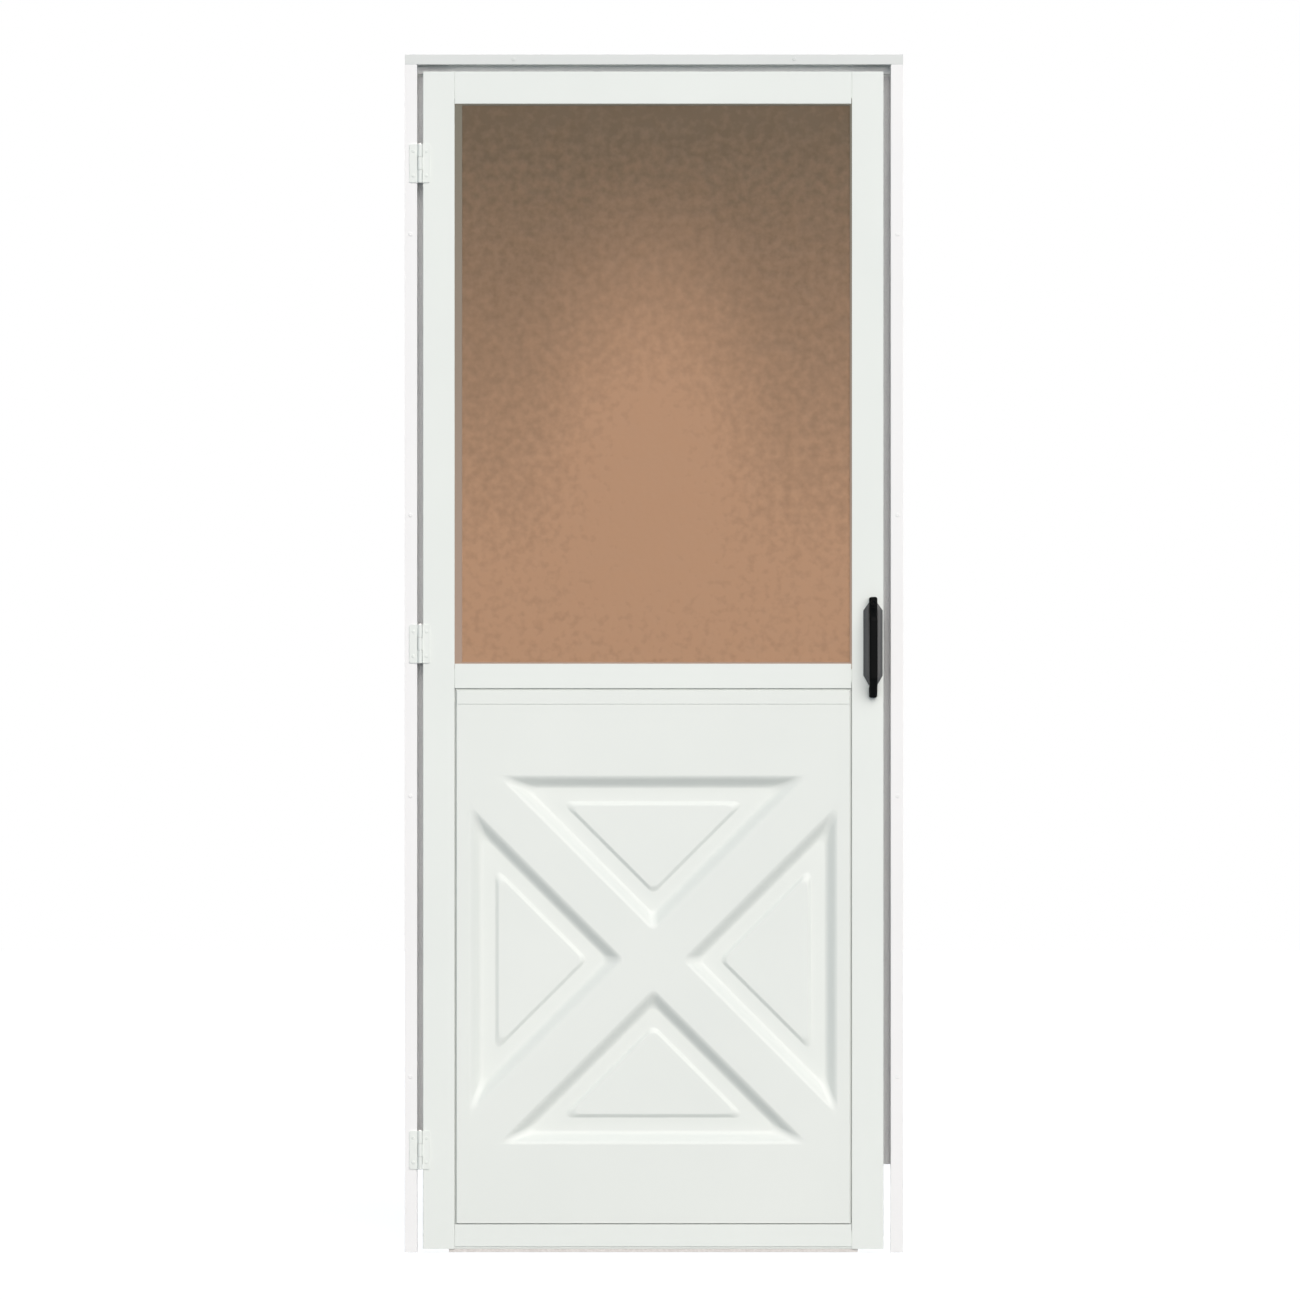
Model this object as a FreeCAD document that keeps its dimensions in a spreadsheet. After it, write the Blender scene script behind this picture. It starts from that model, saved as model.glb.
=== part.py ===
import FreeCAD, Part
import os
import Sketcher

# White aluminium storm door in its Z-bar frame.
# Millimetres. X runs from the hinge side to the latch side, Y from outside to inside, Z up.
# The origin lies at the foot of the hinge jamb, on the back of its flange.

doc = FreeCAD.newDocument("storm_door")

DIMENSIONS = [
    ("leaf_width", 787, "leaf, edge to edge"),
    ("leaf_height", 2012, "leaf, foot to top"),
    ("leaf_depth", 26, "leaf, outside face to inside face"),
    ("sill_clearance", 6, "foot of the frame up to the foot of the leaf"),
    ("hinge_gap", 10, "hinge edge of the leaf to the jamb's web"),
    ("latch_gap", 12.5, "latch edge of the leaf to the jamb's web"),
    ("head_gap", 12, "leaf top to header web"),
    ("jamb_flange", 21, "flange of a jamb with the web's own wall"),
    ("head_flange", 17, "flange of the header with the web's own wall"),
    ("bar_wall", 1.6, "wall of the Z-bars"),
    ("bar_joint", 0.5, "open joint between header and jambs"),
    ("stop_lap", 6, "stop leg behind the leaf's edge"),
    ("seal_clearance", 5, "leaf to the tip of the pile"),
    ("pile_height", 6, "pile weatherstrip, off the stop leg"),
    ("pile_width", 14, "pile weatherstrip, across the stop leg"),
    ("stop_foot", 149, "height at which stop legs and pile begin"),
    ("screw_radius", 2.3, "holes of the fixing screws"),
    ("screw_low", 300, "lowest pair of fixing screws"),
    ("screw_pitch", 480, "fixing screws along a jamb"),
    ("head_screw", 240, "header screws off the middle"),
    ("stile_face", 54, "face of a stile"),
    ("top_rail", 55, "face of the top rail"),
    ("mid_rail", 42, "face of the middle rail"),
    ("bottom_rail", 42, "face of the bottom rail with the sweep holder"),
    ("glass_sill", 1006, "top of the middle rail above the frame's foot"),
    ("lip", 10, "lip of the stiles and rails over glass and panel"),
    ("tube_wall", 1.4, "wall of the stiles and rails"),
    ("rail_joint", 0.5, "open joint between rail faces and stile lips"),
    ("edge_round", 1.2, "rounded long edges of the stiles"),
    ("glass_thickness", 3, "tempered pane"),
    ("gasket_thickness", 2, "gasket between lip and pane"),
    ("gasket_show", 3, "gasket seen inside the lip"),
    ("pane_margin", 1, "pane edge to the tubes"),
    ("retainer_wall", 1.2, "wall of the snap-in retainers"),
    ("panel_step", 5, "panel edge behind the leaf's faces"),
    ("panel_bevel", 4, "width of the sloped margin of the panel"),
    ("bead_height", 23, "strip over the head of the panel"),
    ("bead_thickness", 1.2, "strip, off the panel's face"),
    ("buck_side", 26.5, "stile lip to the crossbuck"),
    ("buck_end", 145, "rail lips to the crossbuck, on average"),
    ("buck_drop", 6, "middle of the crossbuck below the panel's middle"),
    ("buck_bar", 72.6, "bars of the crossbuck"),
    ("buck_depth", 14, "depth of the crossbuck's recesses outside"),
    ("buck_inside", 6, "depth of the crossbuck's recesses inside"),
    ("buck_wall", 18, "width of the recesses' sloped walls"),
    ("field_inset", 41, "recess outline to the foot of the raised field"),
    ("field_rise", 4.5, "raised field above the recess floor outside"),
    ("field_wall", 9.5, "width of the raised fields' sloped walls"),
    ("sweep_holder", 4, "height of the sweep holder"),
    ("sweep_width", 18, "sweep holder, outside to inside"),
    ("holder_set", 2, "sweep holder behind the leaf's outside face"),
    ("fin_height", 5.5, "vinyl fin under the holder"),
    ("fin_thickness", 5, "vinyl fin"),
    ("fin_set", 3, "fin behind the leaf's outside face"),
    ("hinge_length", 66, "hinge, foot to top"),
    ("hinge_plate", 2, "plates of a hinge"),
    ("hinge_jamb_reach", 18.3, "pin axis to the far edge of the jamb plate"),
    ("hinge_door_reach", 17, "pin axis to the far edge of the door plate"),
    ("knuckle_radius", 4.3, "knuckles"),
    ("knuckle_play", 0.5, "between knuckles and round them"),
    ("pin_radius", 2.5, "hinge pin"),
    ("pin_clearance", 0.05, "round the pin"),
    ("pin_head", 4, "radius of the pin's head"),
    ("pin_crown", 2.8, "radius of the flat on the pin's head"),
    ("pin_cap", 2, "height of the pin's head"),
    ("hinge_low", 175, "middle of the lower hinge"),
    ("hinge_mid", 1040, "middle of the middle hinge"),
    ("hinge_drop", 169, "header web down to the middle of the upper hinge"),
    ("handle_inset", 18, "latch edge of the leaf to the handle's middle"),
    ("handle_level", 1034, "middle of the pull handle"),
    ("plate_width", 33, "plate of the pull"),
    ("plate_top", 76, "plate's top above the handle's middle"),
    ("plate_shoulder", 63, "where the plate's head starts to close in"),
    ("plate_waist", 48, "where the plate's foot starts to taper"),
    ("plate_foot", 64, "plate's foot below the handle's middle"),
    ("plate_tip", 15, "width of the plate's ends"),
    ("plate_thickness", 4, "plate of the pull"),
    ("plate_round", 1.2, "rounded rim of the plate"),
    ("grip_width", 14, "pull grip"),
    ("grip_reach", 86, "half the length of the pull grip"),
    ("grip_stand", 40, "outside of the grip off the leaf"),
    ("grip_bar", 11, "grip, outside to finger gap"),
    ("grip_boss", 24, "boss round the button, off the leaf"),
    ("grip_neck", 22, "button's middle down to the underside of the boss"),
    ("grip_root", 8, "flat underside of the boss, off the plate"),
    ("grip_slope", 14, "drop from the boss's underside to the bar"),
    ("grip_brow", 9, "button's middle down to the boss's lower front edge"),
    ("grip_crest", 26, "button's middle down to the bar's upper bend"),
    ("grip_heel", 8, "bar's lower bend below its inner bend"),
    ("grip_foot", 12, "foot of the grip, off the leaf"),
    ("foot_clearance", 2, "foot of the grip below the plate"),
    ("grip_bend", 9, "rounded bends of the grip"),
    ("grip_round", 4, "rounded sides of the grip"),
    ("button_level", 76, "button above the handle's middle"),
    ("button_radius", 4.6, "push button"),
    ("button_bevel", 1.15, "bevelled rim of the button"),
    ("button_clearance", 0.35, "round the button"),
    ("button_length", 17, "push button"),
    ("button_show", 8, "button in front of the boss"),
    ("button_seat", 1, "button's end to the end of its bore, beyond the stroke"),
    ("button_stroke", 6, "stroke of the button"),
    ("case_clearance", 7, "latch case to the latch jamb's stop leg"),
    ("case_width", 33, "latch case"),
    ("case_height", 104, "latch case"),
    ("case_depth", 17, "latch case"),
    ("case_wall", 2, "latch case"),
    ("case_round", 4, "rounded rim of the latch case"),
    ("lever_length", 78, "inside lever"),
    ("lever_width", 15, "inside lever"),
    ("lever_thickness", 6, "inside lever"),
    ("lever_stand", 16, "lever off the latch case"),
    ("lever_hub", 8, "radius of the lever's hub"),
    ("lever_drop", 38, "lever hub below the handle's middle"),
    ("lever_tip", 10.5, "width of the lever's end"),
    ("lever_round", 2, "rounded edges of the lever"),
    ("bolt_height", 14, "latch bolt"),
    ("bolt_depth", 9, "latch bolt"),
    ("bolt_show", 1, "withdrawn bolt, out of the case"),
    ("strike_height", 58, "strike plate"),
    ("strike_thickness", 1.6, "strike plate"),
]

PLACES = [
    ("front", "-dims.bar_wall"),
    ("web_left", "(dims.jamb_flange - dims.bar_wall) / 2"),
    ("leaf_left", "web_left + dims.bar_wall + dims.hinge_gap"),
    ("leaf_right", "leaf_left + dims.leaf_width"),
    ("leaf_middle", "leaf_left + dims.leaf_width / 2"),
    ("leaf_top", "dims.sill_clearance + dims.leaf_height"),
    ("leaf_back", "front + dims.leaf_depth"),
    ("web_right", "leaf_right + dims.latch_gap + dims.bar_wall"),
    ("frame_middle", "(web_left + web_right) / 2"),
    ("head_under", "leaf_top + dims.head_gap"),
    ("flange_reach", "dims.jamb_flange - dims.bar_wall"),
    ("stop_front", "leaf_back + dims.seal_clearance + dims.pile_height"),
    ("stop_back", "stop_front + dims.bar_wall"),
    ("head_stop", "dims.head_gap + dims.stop_lap"),
    ("stop_edge", "leaf_right - dims.stop_lap"),
    ("tube", "dims.stile_face - dims.lip"),
    ("tube_left", "leaf_left + tube"),
    ("tube_right", "leaf_right - tube"),
    ("between", "tube_right - tube_left"),
    ("sight", "dims.leaf_width - 2 * dims.stile_face"),
    ("glass_top", "leaf_top - dims.top_rail"),
    ("panel_top", "dims.glass_sill - dims.mid_rail"),
    ("panel_foot", "dims.sill_clearance + dims.bottom_rail"),
    ("panel_middle", "(panel_top + panel_foot) / 2"),
    ("pane_front", "front + dims.tube_wall + dims.gasket_thickness"),
    ("pane_back", "pane_front + dims.glass_thickness"),
    ("pin_x", "leaf_left - dims.hinge_gap / 2"),
    ("pin_y", "front - dims.hinge_plate"),
    ("hinge_high", "head_under - dims.hinge_drop"),
    ("knuckle", "(dims.hinge_length - 2 * dims.knuckle_play) / 3"),
    ("handle_x", "leaf_right - dims.handle_inset"),
    ("case_right", "stop_edge - dims.case_clearance"),
    ("half_wide", "sight / 2"),
    ("half_tall", "(panel_top - panel_foot) / 2"),
    ("reach_x", "half_wide - dims.buck_side"),
    ("reach_z", "half_tall - dims.buck_end"),
    ("diagonal", "sqrt(reach_x * reach_x + reach_z * reach_z)"),
    ("point_z", "dims.buck_bar / 2 * diagonal / reach_x"),
    ("point_x", "dims.buck_bar / 2 * diagonal / reach_z"),
    ("base_x", "reach_x * (reach_z - point_z) / reach_z"),
    ("base_z", "reach_z * (reach_x - point_x) / reach_x"),
    ("field_reach_z", "reach_z - dims.field_inset"),
    ("field_reach_x", "reach_x - dims.field_inset"),
    ("field_point_z", "point_z + dims.field_inset * diagonal / reach_x"),
    ("field_point_x", "point_x + dims.field_inset * diagonal / reach_z"),
    ("field_base_x", "(field_reach_z - field_point_z) * reach_x / reach_z"),
    ("field_base_z", "(field_reach_x - field_point_x) * reach_z / reach_x"),
]


def fill_sheet(name, rows):
    sheet = doc.addObject("Spreadsheet::Sheet", name)
    for line, (word, content, note) in enumerate(rows, start=1):
        sheet.set(f"A{line}", word)
        sheet.set(f"B{line}", content)
        sheet.setAlias(f"B{line}", word)
        sheet.set(f"C{line}", note)
    return sheet


dims = fill_sheet("dims", [(word, str(size), note) for word, size, note in DIMENSIONS])
places = fill_sheet("places", [(word, "=" + rule, "worked out") for word, rule in PLACES])
doc.recompute()

NODES = []
JAMB_SCREWS = 4
FULL_TURN = 360
NEAR = 0.01


def number(rule):
    return float(places.evalExpression(str(rule)))


def place(item, x, y, z):
    for axis, rule in (("x", x), ("y", y), ("z", z)):
        item.setExpression(f"Placement.Base.{axis}", str(rule))


def node(item, label):
    item.Label = label
    NODES.append(item)
    return item


def body_at(label, x, y, z):
    body = doc.addObject("PartDesign::Body", label + "_body")
    place(body, x, y, z)
    return node(body, label)


def sketch_on(body, role, offset="0"):
    plane = [item for item in body.Origin.OriginFeatures if item.Role == role][0]
    sketch = body.newObject("Sketcher::SketchObject", "outline")
    sketch.AttachmentSupport = [(plane, "")]
    sketch.MapMode = "FlatFace"
    sketch.setExpression("AttachmentOffset.Base.z", offset)
    return sketch


def fix_point(sketch, line, end, across, up, spot):
    for kind, rule, size in (("DistanceX", across, spot.x), ("DistanceY", up, spot.y)):
        index = sketch.addConstraint(Sketcher.Constraint(kind, -1, 1, line, end, size))
        sketch.setExpression(f"Constraints[{index}]", str(rule))


def polygon(sketch, points):
    first = sketch.GeometryCount
    count = len(points)
    spots = [FreeCAD.Vector(number(across), number(up), 0) for across, up in points]
    for step in range(count):
        sketch.addGeometry(Part.LineSegment(spots[step], spots[(step + 1) % count]), False)
    for step in range(count):
        corner = Sketcher.Constraint("Coincident", first + step, 2, first + (step + 1) % count, 1)
        sketch.addConstraint(corner)
    for step, (across, up) in enumerate(points):
        fix_point(sketch, first + step, 1, across, up, spots[step])


def rectangle(sketch, left, low, right, high):
    polygon(sketch, [(left, low), (right, low), (right, high), (left, high)])


def circle(sketch, across, up, radius):
    centre = FreeCAD.Vector(number(across), number(up), 0)
    ring = sketch.addGeometry(Part.Circle(centre, FreeCAD.Vector(0, 0, 1), number(radius)), False)
    fix_point(sketch, ring, 3, across, up, centre)
    index = sketch.addConstraint(Sketcher.Constraint("Radius", ring, number(radius)))
    sketch.setExpression(f"Constraints[{index}]", str(radius))


def grow(body, kind, sketch, length, slope=None, middle=False, flipped=False):
    feature = body.newObject(kind, kind.split("::")[1].lower())
    feature.Profile = sketch
    feature.setExpression("Length", str(length))
    feature.Midplane = middle
    feature.Reversed = flipped
    if slope:
        feature.setExpression("TaperAngle", slope)
    body.Tip = feature
    return feature


def pad(body, sketch, length, **options):
    return grow(body, "PartDesign::Pad", sketch, length, **options)


def pocket(body, sketch, length, **options):
    return grow(body, "PartDesign::Pocket", sketch, length, **options)


def mirror(body, features):
    plane = [item for item in body.Origin.OriginFeatures if item.Role == "XZ_Plane"][0]
    copy = body.newObject("PartDesign::Mirrored", "mirrored")
    copy.Originals = features
    copy.MirrorPlane = (plane, [""])
    body.Tip = copy


def turn(body, sketch):
    turned = body.newObject("PartDesign::Revolution", "turned")
    turned.Profile = sketch
    turned.ReferenceAxis = (sketch, ["V_Axis"])
    turned.Angle = FULL_TURN
    body.Tip = turned


def soften(body, radius, wanted):
    doc.recompute()
    names = []
    for index, edge in enumerate(body.Tip.Shape.Edges, start=1):
        if wanted(edge):
            names.append(f"Edge{index}")
    base = body.Tip
    fillet = body.newObject("PartDesign::Fillet", "soft")
    fillet.Base = (base, names)
    fillet.setExpression("Radius", radius)
    body.Tip = fillet


def block(x, y, z, length, width, height):
    item = doc.addObject("Part::Box", "block")
    item.setExpression("Length", str(length))
    item.setExpression("Width", str(width))
    item.setExpression("Height", str(height))
    place(item, x, y, z)
    return item


def rod(x, y, z, radius, height):
    item = doc.addObject("Part::Cylinder", "rod")
    item.setExpression("Radius", str(radius))
    item.setExpression("Height", str(height))
    place(item, x, y, z)
    return item


def joined(items):
    whole = doc.addObject("Part::MultiFuse", "joined")
    whole.Shapes = items
    whole.Refine = True
    return whole


def cut(base, tool):
    rest = doc.addObject("Part::Cut", "cut")
    rest.Base = base
    rest.Tool = tool
    rest.Refine = True
    return rest


# Z-bars: a jamb is drawn from the outer face of its web, "inward" is +1 on the hinge side.

def jamb(label, web, gap, inward):
    body = body_at(label, web, 0, 0)
    outline = sketch_on(body, "XY_Plane")
    outer = f"{-inward} * places.flange_reach"
    inner = f"{inward} * dims.bar_wall"
    polygon(outline, [
        (outer, "places.front"),
        (inner, "places.front"),
        (inner, "places.stop_back"),
        ("0", "places.stop_back"),
        ("0", "0"),
        (outer, "0"),
    ])
    pad(body, outline, "places.head_under - dims.bar_joint")
    leg = sketch_on(body, "XY_Plane", "dims.stop_foot")
    tip = f"{inward} * (dims.bar_wall + {gap} + dims.stop_lap)"
    low, high = (inner, tip) if inward > 0 else (tip, inner)
    rectangle(leg, low, "places.stop_front", high, "places.stop_back")
    pad(body, leg, "places.head_under - places.head_stop - dims.stop_foot")
    holes = sketch_on(body, "XZ_Plane", "-places.front")
    for row in range(JAMB_SCREWS):
        level = f"dims.screw_low + {row} * dims.screw_pitch"
        circle(holes, f"{-inward} * places.flange_reach / 2", level, "dims.screw_radius")
    pocket(body, holes, "dims.bar_wall")


jamb("hinge_jamb", "places.web_left", "dims.hinge_gap", 1)
jamb("latch_jamb", "places.web_right", "dims.latch_gap", -1)

HEAD_LENGTH = "places.web_right - places.web_left + 2 * places.flange_reach"
header = body_at("header_bar", "places.frame_middle", 0, "places.head_under")
face = sketch_on(header, "XZ_Plane")
rectangle(face, f"-({HEAD_LENGTH}) / 2", "0", f"({HEAD_LENGTH}) / 2", "dims.head_flange")
pad(header, face, "dims.bar_wall")
web = sketch_on(header, "XY_Plane")
HALF_WEB = "(places.web_right - places.web_left) / 2"
rectangle(web, f"-({HALF_WEB})", "0", HALF_WEB, "places.stop_back")
pad(header, web, "dims.bar_wall")
head_leg = sketch_on(header, "XZ_Plane", "-places.stop_back")
HALF_LEG = f"{HALF_WEB} - dims.bar_wall"
rectangle(head_leg, f"-({HALF_LEG})", "-places.head_stop", HALF_LEG, "0")
pad(header, head_leg, "dims.bar_wall")
head_holes = sketch_on(header, "XZ_Plane", "dims.bar_wall")
HOLE_LEVEL = "(dims.head_flange + dims.bar_wall) / 2"
for side in (-1, 1):
    circle(head_holes, f"{side} * dims.head_screw", HOLE_LEVEL, "dims.screw_radius")
pocket(header, head_holes, "dims.bar_wall")

# Pile weatherstrip on the front of the stop legs.

PILE_HEIGHT = "places.head_under - places.head_stop - dims.stop_foot"
PILE_TIP = "places.stop_front - dims.pile_height"
node(block("places.web_left + dims.bar_wall", PILE_TIP, "dims.stop_foot",
           "dims.pile_width", "dims.pile_height", PILE_HEIGHT), "hinge_jamb_pile")
node(block("places.web_right - dims.bar_wall - dims.pile_width", PILE_TIP, "dims.stop_foot",
           "dims.pile_width", "dims.pile_height", PILE_HEIGHT), "latch_jamb_pile")
node(block("places.web_left + dims.bar_wall", PILE_TIP, "places.head_under - dims.pile_width",
           "places.web_right - places.web_left - 2 * dims.bar_wall", "dims.pile_height",
           "dims.pile_width"), "header_pile")

# Hinges: two jamb knuckles with one door knuckle between them on one pin.

KNUCKLE_ROOM = "(dims.knuckle_radius + dims.knuckle_play)"
BORE = "dims.pin_radius + dims.pin_clearance"
KNUCKLE_STEP = "(places.knuckle + dims.knuckle_play)"


def hinge(name, level):
    foot = f"{level} - dims.hinge_length / 2"
    fixed = [block("places.pin_x - dims.hinge_jamb_reach", "places.pin_y", foot,
                   f"dims.hinge_jamb_reach - {KNUCKLE_ROOM}", "dims.hinge_plate", "dims.hinge_length")]
    for step in (0, 2):
        low = f"{foot} + {step} * {KNUCKLE_STEP}"
        fixed.append(rod("places.pin_x", "places.pin_y", low, "dims.knuckle_radius", "places.knuckle"))
        fixed.append(block(f"places.pin_x - {KNUCKLE_ROOM}", "places.pin_y", low,
                           KNUCKLE_ROOM, "dims.hinge_plate", "places.knuckle"))
    bore = rod("places.pin_x", "places.pin_y", foot, BORE, "dims.hinge_length")
    node(cut(joined(fixed), bore), f"{name}_hinge_jamb_leaf")
    low = f"{foot} + {KNUCKLE_STEP}"
    moving = [
        block(f"places.pin_x + {KNUCKLE_ROOM}", "places.pin_y", foot,
              f"dims.hinge_door_reach - {KNUCKLE_ROOM}", "dims.hinge_plate", "dims.hinge_length"),
        rod("places.pin_x", "places.pin_y", low, "dims.knuckle_radius", "places.knuckle"),
        block("places.pin_x", "places.pin_y", low, KNUCKLE_ROOM, "dims.hinge_plate", "places.knuckle"),
    ]
    bore = rod("places.pin_x", "places.pin_y", foot, BORE, "dims.hinge_length")
    node(cut(joined(moving), bore), f"{name}_hinge_door_leaf")
    pin = body_at(f"{name}_hinge_pin", "places.pin_x", "places.pin_y", foot)
    profile = sketch_on(pin, "XZ_Plane")
    polygon(profile, [
        ("0", "0"),
        ("dims.pin_radius", "0"),
        ("dims.pin_radius", "dims.hinge_length"),
        ("dims.pin_head", "dims.hinge_length"),
        ("dims.pin_crown", "dims.hinge_length + dims.pin_cap"),
        ("0", "dims.hinge_length + dims.pin_cap"),
    ])
    turn(pin, profile)


hinge("lower", "dims.hinge_low")
hinge("middle", "dims.hinge_mid")
hinge("upper", "places.hinge_high")

# Stiles: hollow tubes with a lip along the inner front edge.

def stile(label, edge, inward):
    body = body_at(label, edge, "places.front", "dims.sill_clearance")
    outline = sketch_on(body, "XY_Plane")
    face = f"{inward} * dims.stile_face"
    tube = f"{inward} * places.tube"
    polygon(outline, [
        ("0", "0"),
        (face, "0"),
        (face, "dims.tube_wall"),
        (tube, "dims.tube_wall"),
        (tube, "dims.leaf_depth"),
        ("0", "dims.leaf_depth"),
    ])
    polygon(outline, [
        (f"{inward} * dims.tube_wall", "dims.tube_wall"),
        (f"{inward} * (places.tube - dims.tube_wall)", "dims.tube_wall"),
        (f"{inward} * (places.tube - dims.tube_wall)", "dims.leaf_depth - dims.tube_wall"),
        (f"{inward} * dims.tube_wall", "dims.leaf_depth - dims.tube_wall"),
    ])
    pad(body, outline, "dims.leaf_height")

    def outer_corner(edge):
        middle = edge.CenterOfMass
        long = edge.BoundBox.ZLength > number("dims.leaf_height / 2")
        return long and abs(middle.x) < NEAR

    soften(body, "dims.edge_round", outer_corner)


stile("hinge_stile", "places.leaf_left", 1)
stile("latch_stile", "places.leaf_right", -1)

# Rails: hollow tubes between the stiles, their faces and lips cut back at the stile lips.

CUT_BACK = "(dims.lip + dims.rail_joint)"


def rail(label, low, high, lip_under, lip_over):
    body = body_at(label, "places.tube_left", "places.front", low)
    tall = f"({high} - ({low}))"
    foot = "dims.lip" if lip_under else "0"
    head = f"{tall} - dims.lip" if lip_over else tall
    outline = sketch_on(body, "YZ_Plane")
    points = [("0", "0")]
    if lip_under:
        points += [("dims.tube_wall", "0"), ("dims.tube_wall", foot)]
    points += [("dims.leaf_depth", foot), ("dims.leaf_depth", head)]
    if lip_over:
        points += [("dims.tube_wall", head), ("dims.tube_wall", tall)]
    points.append(("0", tall))
    polygon(outline, points)
    rectangle(outline, "dims.tube_wall", f"{foot} + dims.tube_wall",
              "dims.leaf_depth - dims.tube_wall", f"{head} - dims.tube_wall")
    pad(body, outline, "places.between")
    ends = sketch_on(body, "XZ_Plane")
    rectangle(ends, "0", "0", CUT_BACK, tall)
    rectangle(ends, f"places.between - {CUT_BACK}", "0", "places.between", tall)
    pocket(body, ends, "dims.tube_wall")


rail("top_rail", "places.glass_top", "places.leaf_top", True, False)
rail("mid_rail", "places.panel_top", "dims.glass_sill", True, True)
rail("bottom_rail", "dims.sill_clearance + dims.sweep_holder", "places.panel_foot", False, True)

# Glass, its gasket behind the lips and the snap-in retainers on the inside.

PANE_LEFT = "places.tube_left + dims.pane_margin"
PANE_FOOT = "dims.glass_sill - dims.lip + dims.pane_margin"
PANE_WIDE = "places.between - 2 * dims.pane_margin"
PANE_TALL = "(places.glass_top - dims.glass_sill + 2 * dims.lip - 2 * dims.pane_margin)"
node(block(PANE_LEFT, "places.pane_front", PANE_FOOT,
           PANE_WIDE, "dims.glass_thickness", PANE_TALL), "storm_glass")

gasket = body_at("glass_gasket", PANE_LEFT, "places.pane_front", PANE_FOOT)
ring = sketch_on(gasket, "XZ_Plane")
BAND = "(dims.lip - dims.pane_margin + dims.gasket_show)"
rectangle(ring, "0", "0", PANE_WIDE, PANE_TALL)
rectangle(ring, BAND, BAND, f"{PANE_WIDE} - {BAND}", f"{PANE_TALL} - {BAND}")
pad(gasket, ring, "dims.gasket_thickness")


def hollow_strip(label, x, y, z, role, wide, deep, length):
    body = body_at(label, x, y, z)
    outline = sketch_on(body, role)
    across, up = (wide, deep) if role == "XY_Plane" else (deep, wide)
    wall = "dims.retainer_wall"
    rectangle(outline, "0", "0", across, up)
    rectangle(outline, wall, wall, f"{across} - {wall}", f"{up} - {wall}")
    pad(body, outline, length)


RETAINER_DEEP = "(places.leaf_back - places.pane_back)"
GLASS_LOW = "dims.glass_sill - dims.lip"
GLASS_SPAN = "(places.glass_top + dims.lip - dims.glass_sill + dims.lip)"
for label, x in (("hinge", "places.tube_left"), ("latch", "places.tube_right - dims.lip")):
    hollow_strip(f"glass_retainer_{label}", x, "places.pane_back", GLASS_LOW,
                 "XY_Plane", "dims.lip", RETAINER_DEEP, GLASS_SPAN)
for label, z in (("bottom", GLASS_LOW), ("top", "places.glass_top")):
    hollow_strip(f"glass_retainer_{label}", "places.tube_left + dims.lip", "places.pane_back", z,
                 "YZ_Plane", "dims.lip", RETAINER_DEEP, "places.sight")

# Kick panel: one thick panel with the same crossbuck on both faces, shallower on the inside.

panel = body_at("kick_panel", "places.leaf_middle", "places.front + dims.leaf_depth / 2",
                "places.panel_middle")
core = sketch_on(panel, "XZ_Plane")
rectangle(core, "-places.between / 2", "-(places.half_tall + dims.lip)",
          "places.between / 2", "places.half_tall + dims.lip")
pad(panel, core, "dims.leaf_depth - 2 * dims.panel_step", middle=True)
field = sketch_on(panel, "XZ_Plane", "dims.leaf_depth / 2 - dims.panel_step")
rectangle(field, "-places.half_wide", "-places.half_tall", "places.half_wide", "places.half_tall")
SLOPE = "-atan(dims.panel_bevel / dims.panel_step)"
raised = pad(panel, field, "dims.panel_step", slope=SLOPE)
mirror(panel, [raised])


def triangles(sketch, reach_x, reach_z, point_x, point_z, base_x, base_z):
    for side in (-1, 1):
        polygon(sketch, [
            (f"-{base_x}", f"{side} * {reach_z} - dims.buck_drop"),
            (base_x, f"{side} * {reach_z} - dims.buck_drop"),
            ("0", f"{side} * {point_z} - dims.buck_drop"),
        ])
        polygon(sketch, [
            (f"{side} * {reach_x}", f"-{base_z} - dims.buck_drop"),
            (f"{side} * {reach_x}", f"{base_z} - dims.buck_drop"),
            (f"{side} * {point_x}", "-dims.buck_drop"),
        ])


for depth, inside in (("dims.buck_depth", False), ("dims.buck_inside", True)):
    side = -1 if inside else 1
    sunk = sketch_on(panel, "XZ_Plane", f"{side} * dims.leaf_depth / 2")
    triangles(sunk, "places.reach_x", "places.reach_z", "places.point_x", "places.point_z",
              "places.base_x", "places.base_z")
    pocket(panel, sunk, depth, slope=f"-atan(dims.buck_wall / {depth})", flipped=inside)
    lifted = sketch_on(panel, "XZ_Plane", f"{side} * (dims.leaf_depth / 2 - {depth})")
    triangles(lifted, "places.field_reach_x", "places.field_reach_z", "places.field_point_x",
              "places.field_point_z", "places.field_base_x", "places.field_base_z")
    rise = f"dims.field_rise * {depth} / dims.buck_depth"
    pad(panel, lifted, rise, slope=f"-atan(dims.field_wall / ({rise}))", flipped=inside)

# Strip over the panel's head and the inside retainers of the panel.

node(block("places.leaf_left + dims.stile_face + dims.panel_bevel", "places.front - dims.bead_thickness",
           "places.panel_top - dims.panel_bevel - dims.bead_height", "places.sight - 2 * dims.panel_bevel",
           "dims.bead_thickness", "dims.bead_height"), "panel_bead")
STRIP_Y = "places.leaf_back - dims.panel_step"
PANEL_LOW = "places.panel_foot - dims.lip"
PANEL_SPAN = "(places.panel_top - places.panel_foot + 2 * dims.lip)"
for label, x in (("hinge", "places.tube_left"), ("latch", "places.tube_right - dims.lip")):
    node(block(x, STRIP_Y, PANEL_LOW, "dims.lip", "dims.panel_step", PANEL_SPAN), f"panel_retainer_{label}")
for label, z in (("bottom", PANEL_LOW), ("top", "places.panel_top")):
    node(block("places.tube_left + dims.lip", STRIP_Y, z, "places.sight", "dims.panel_step", "dims.lip"),
         f"panel_retainer_{label}")

# Sweep under the bottom rail.

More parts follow.
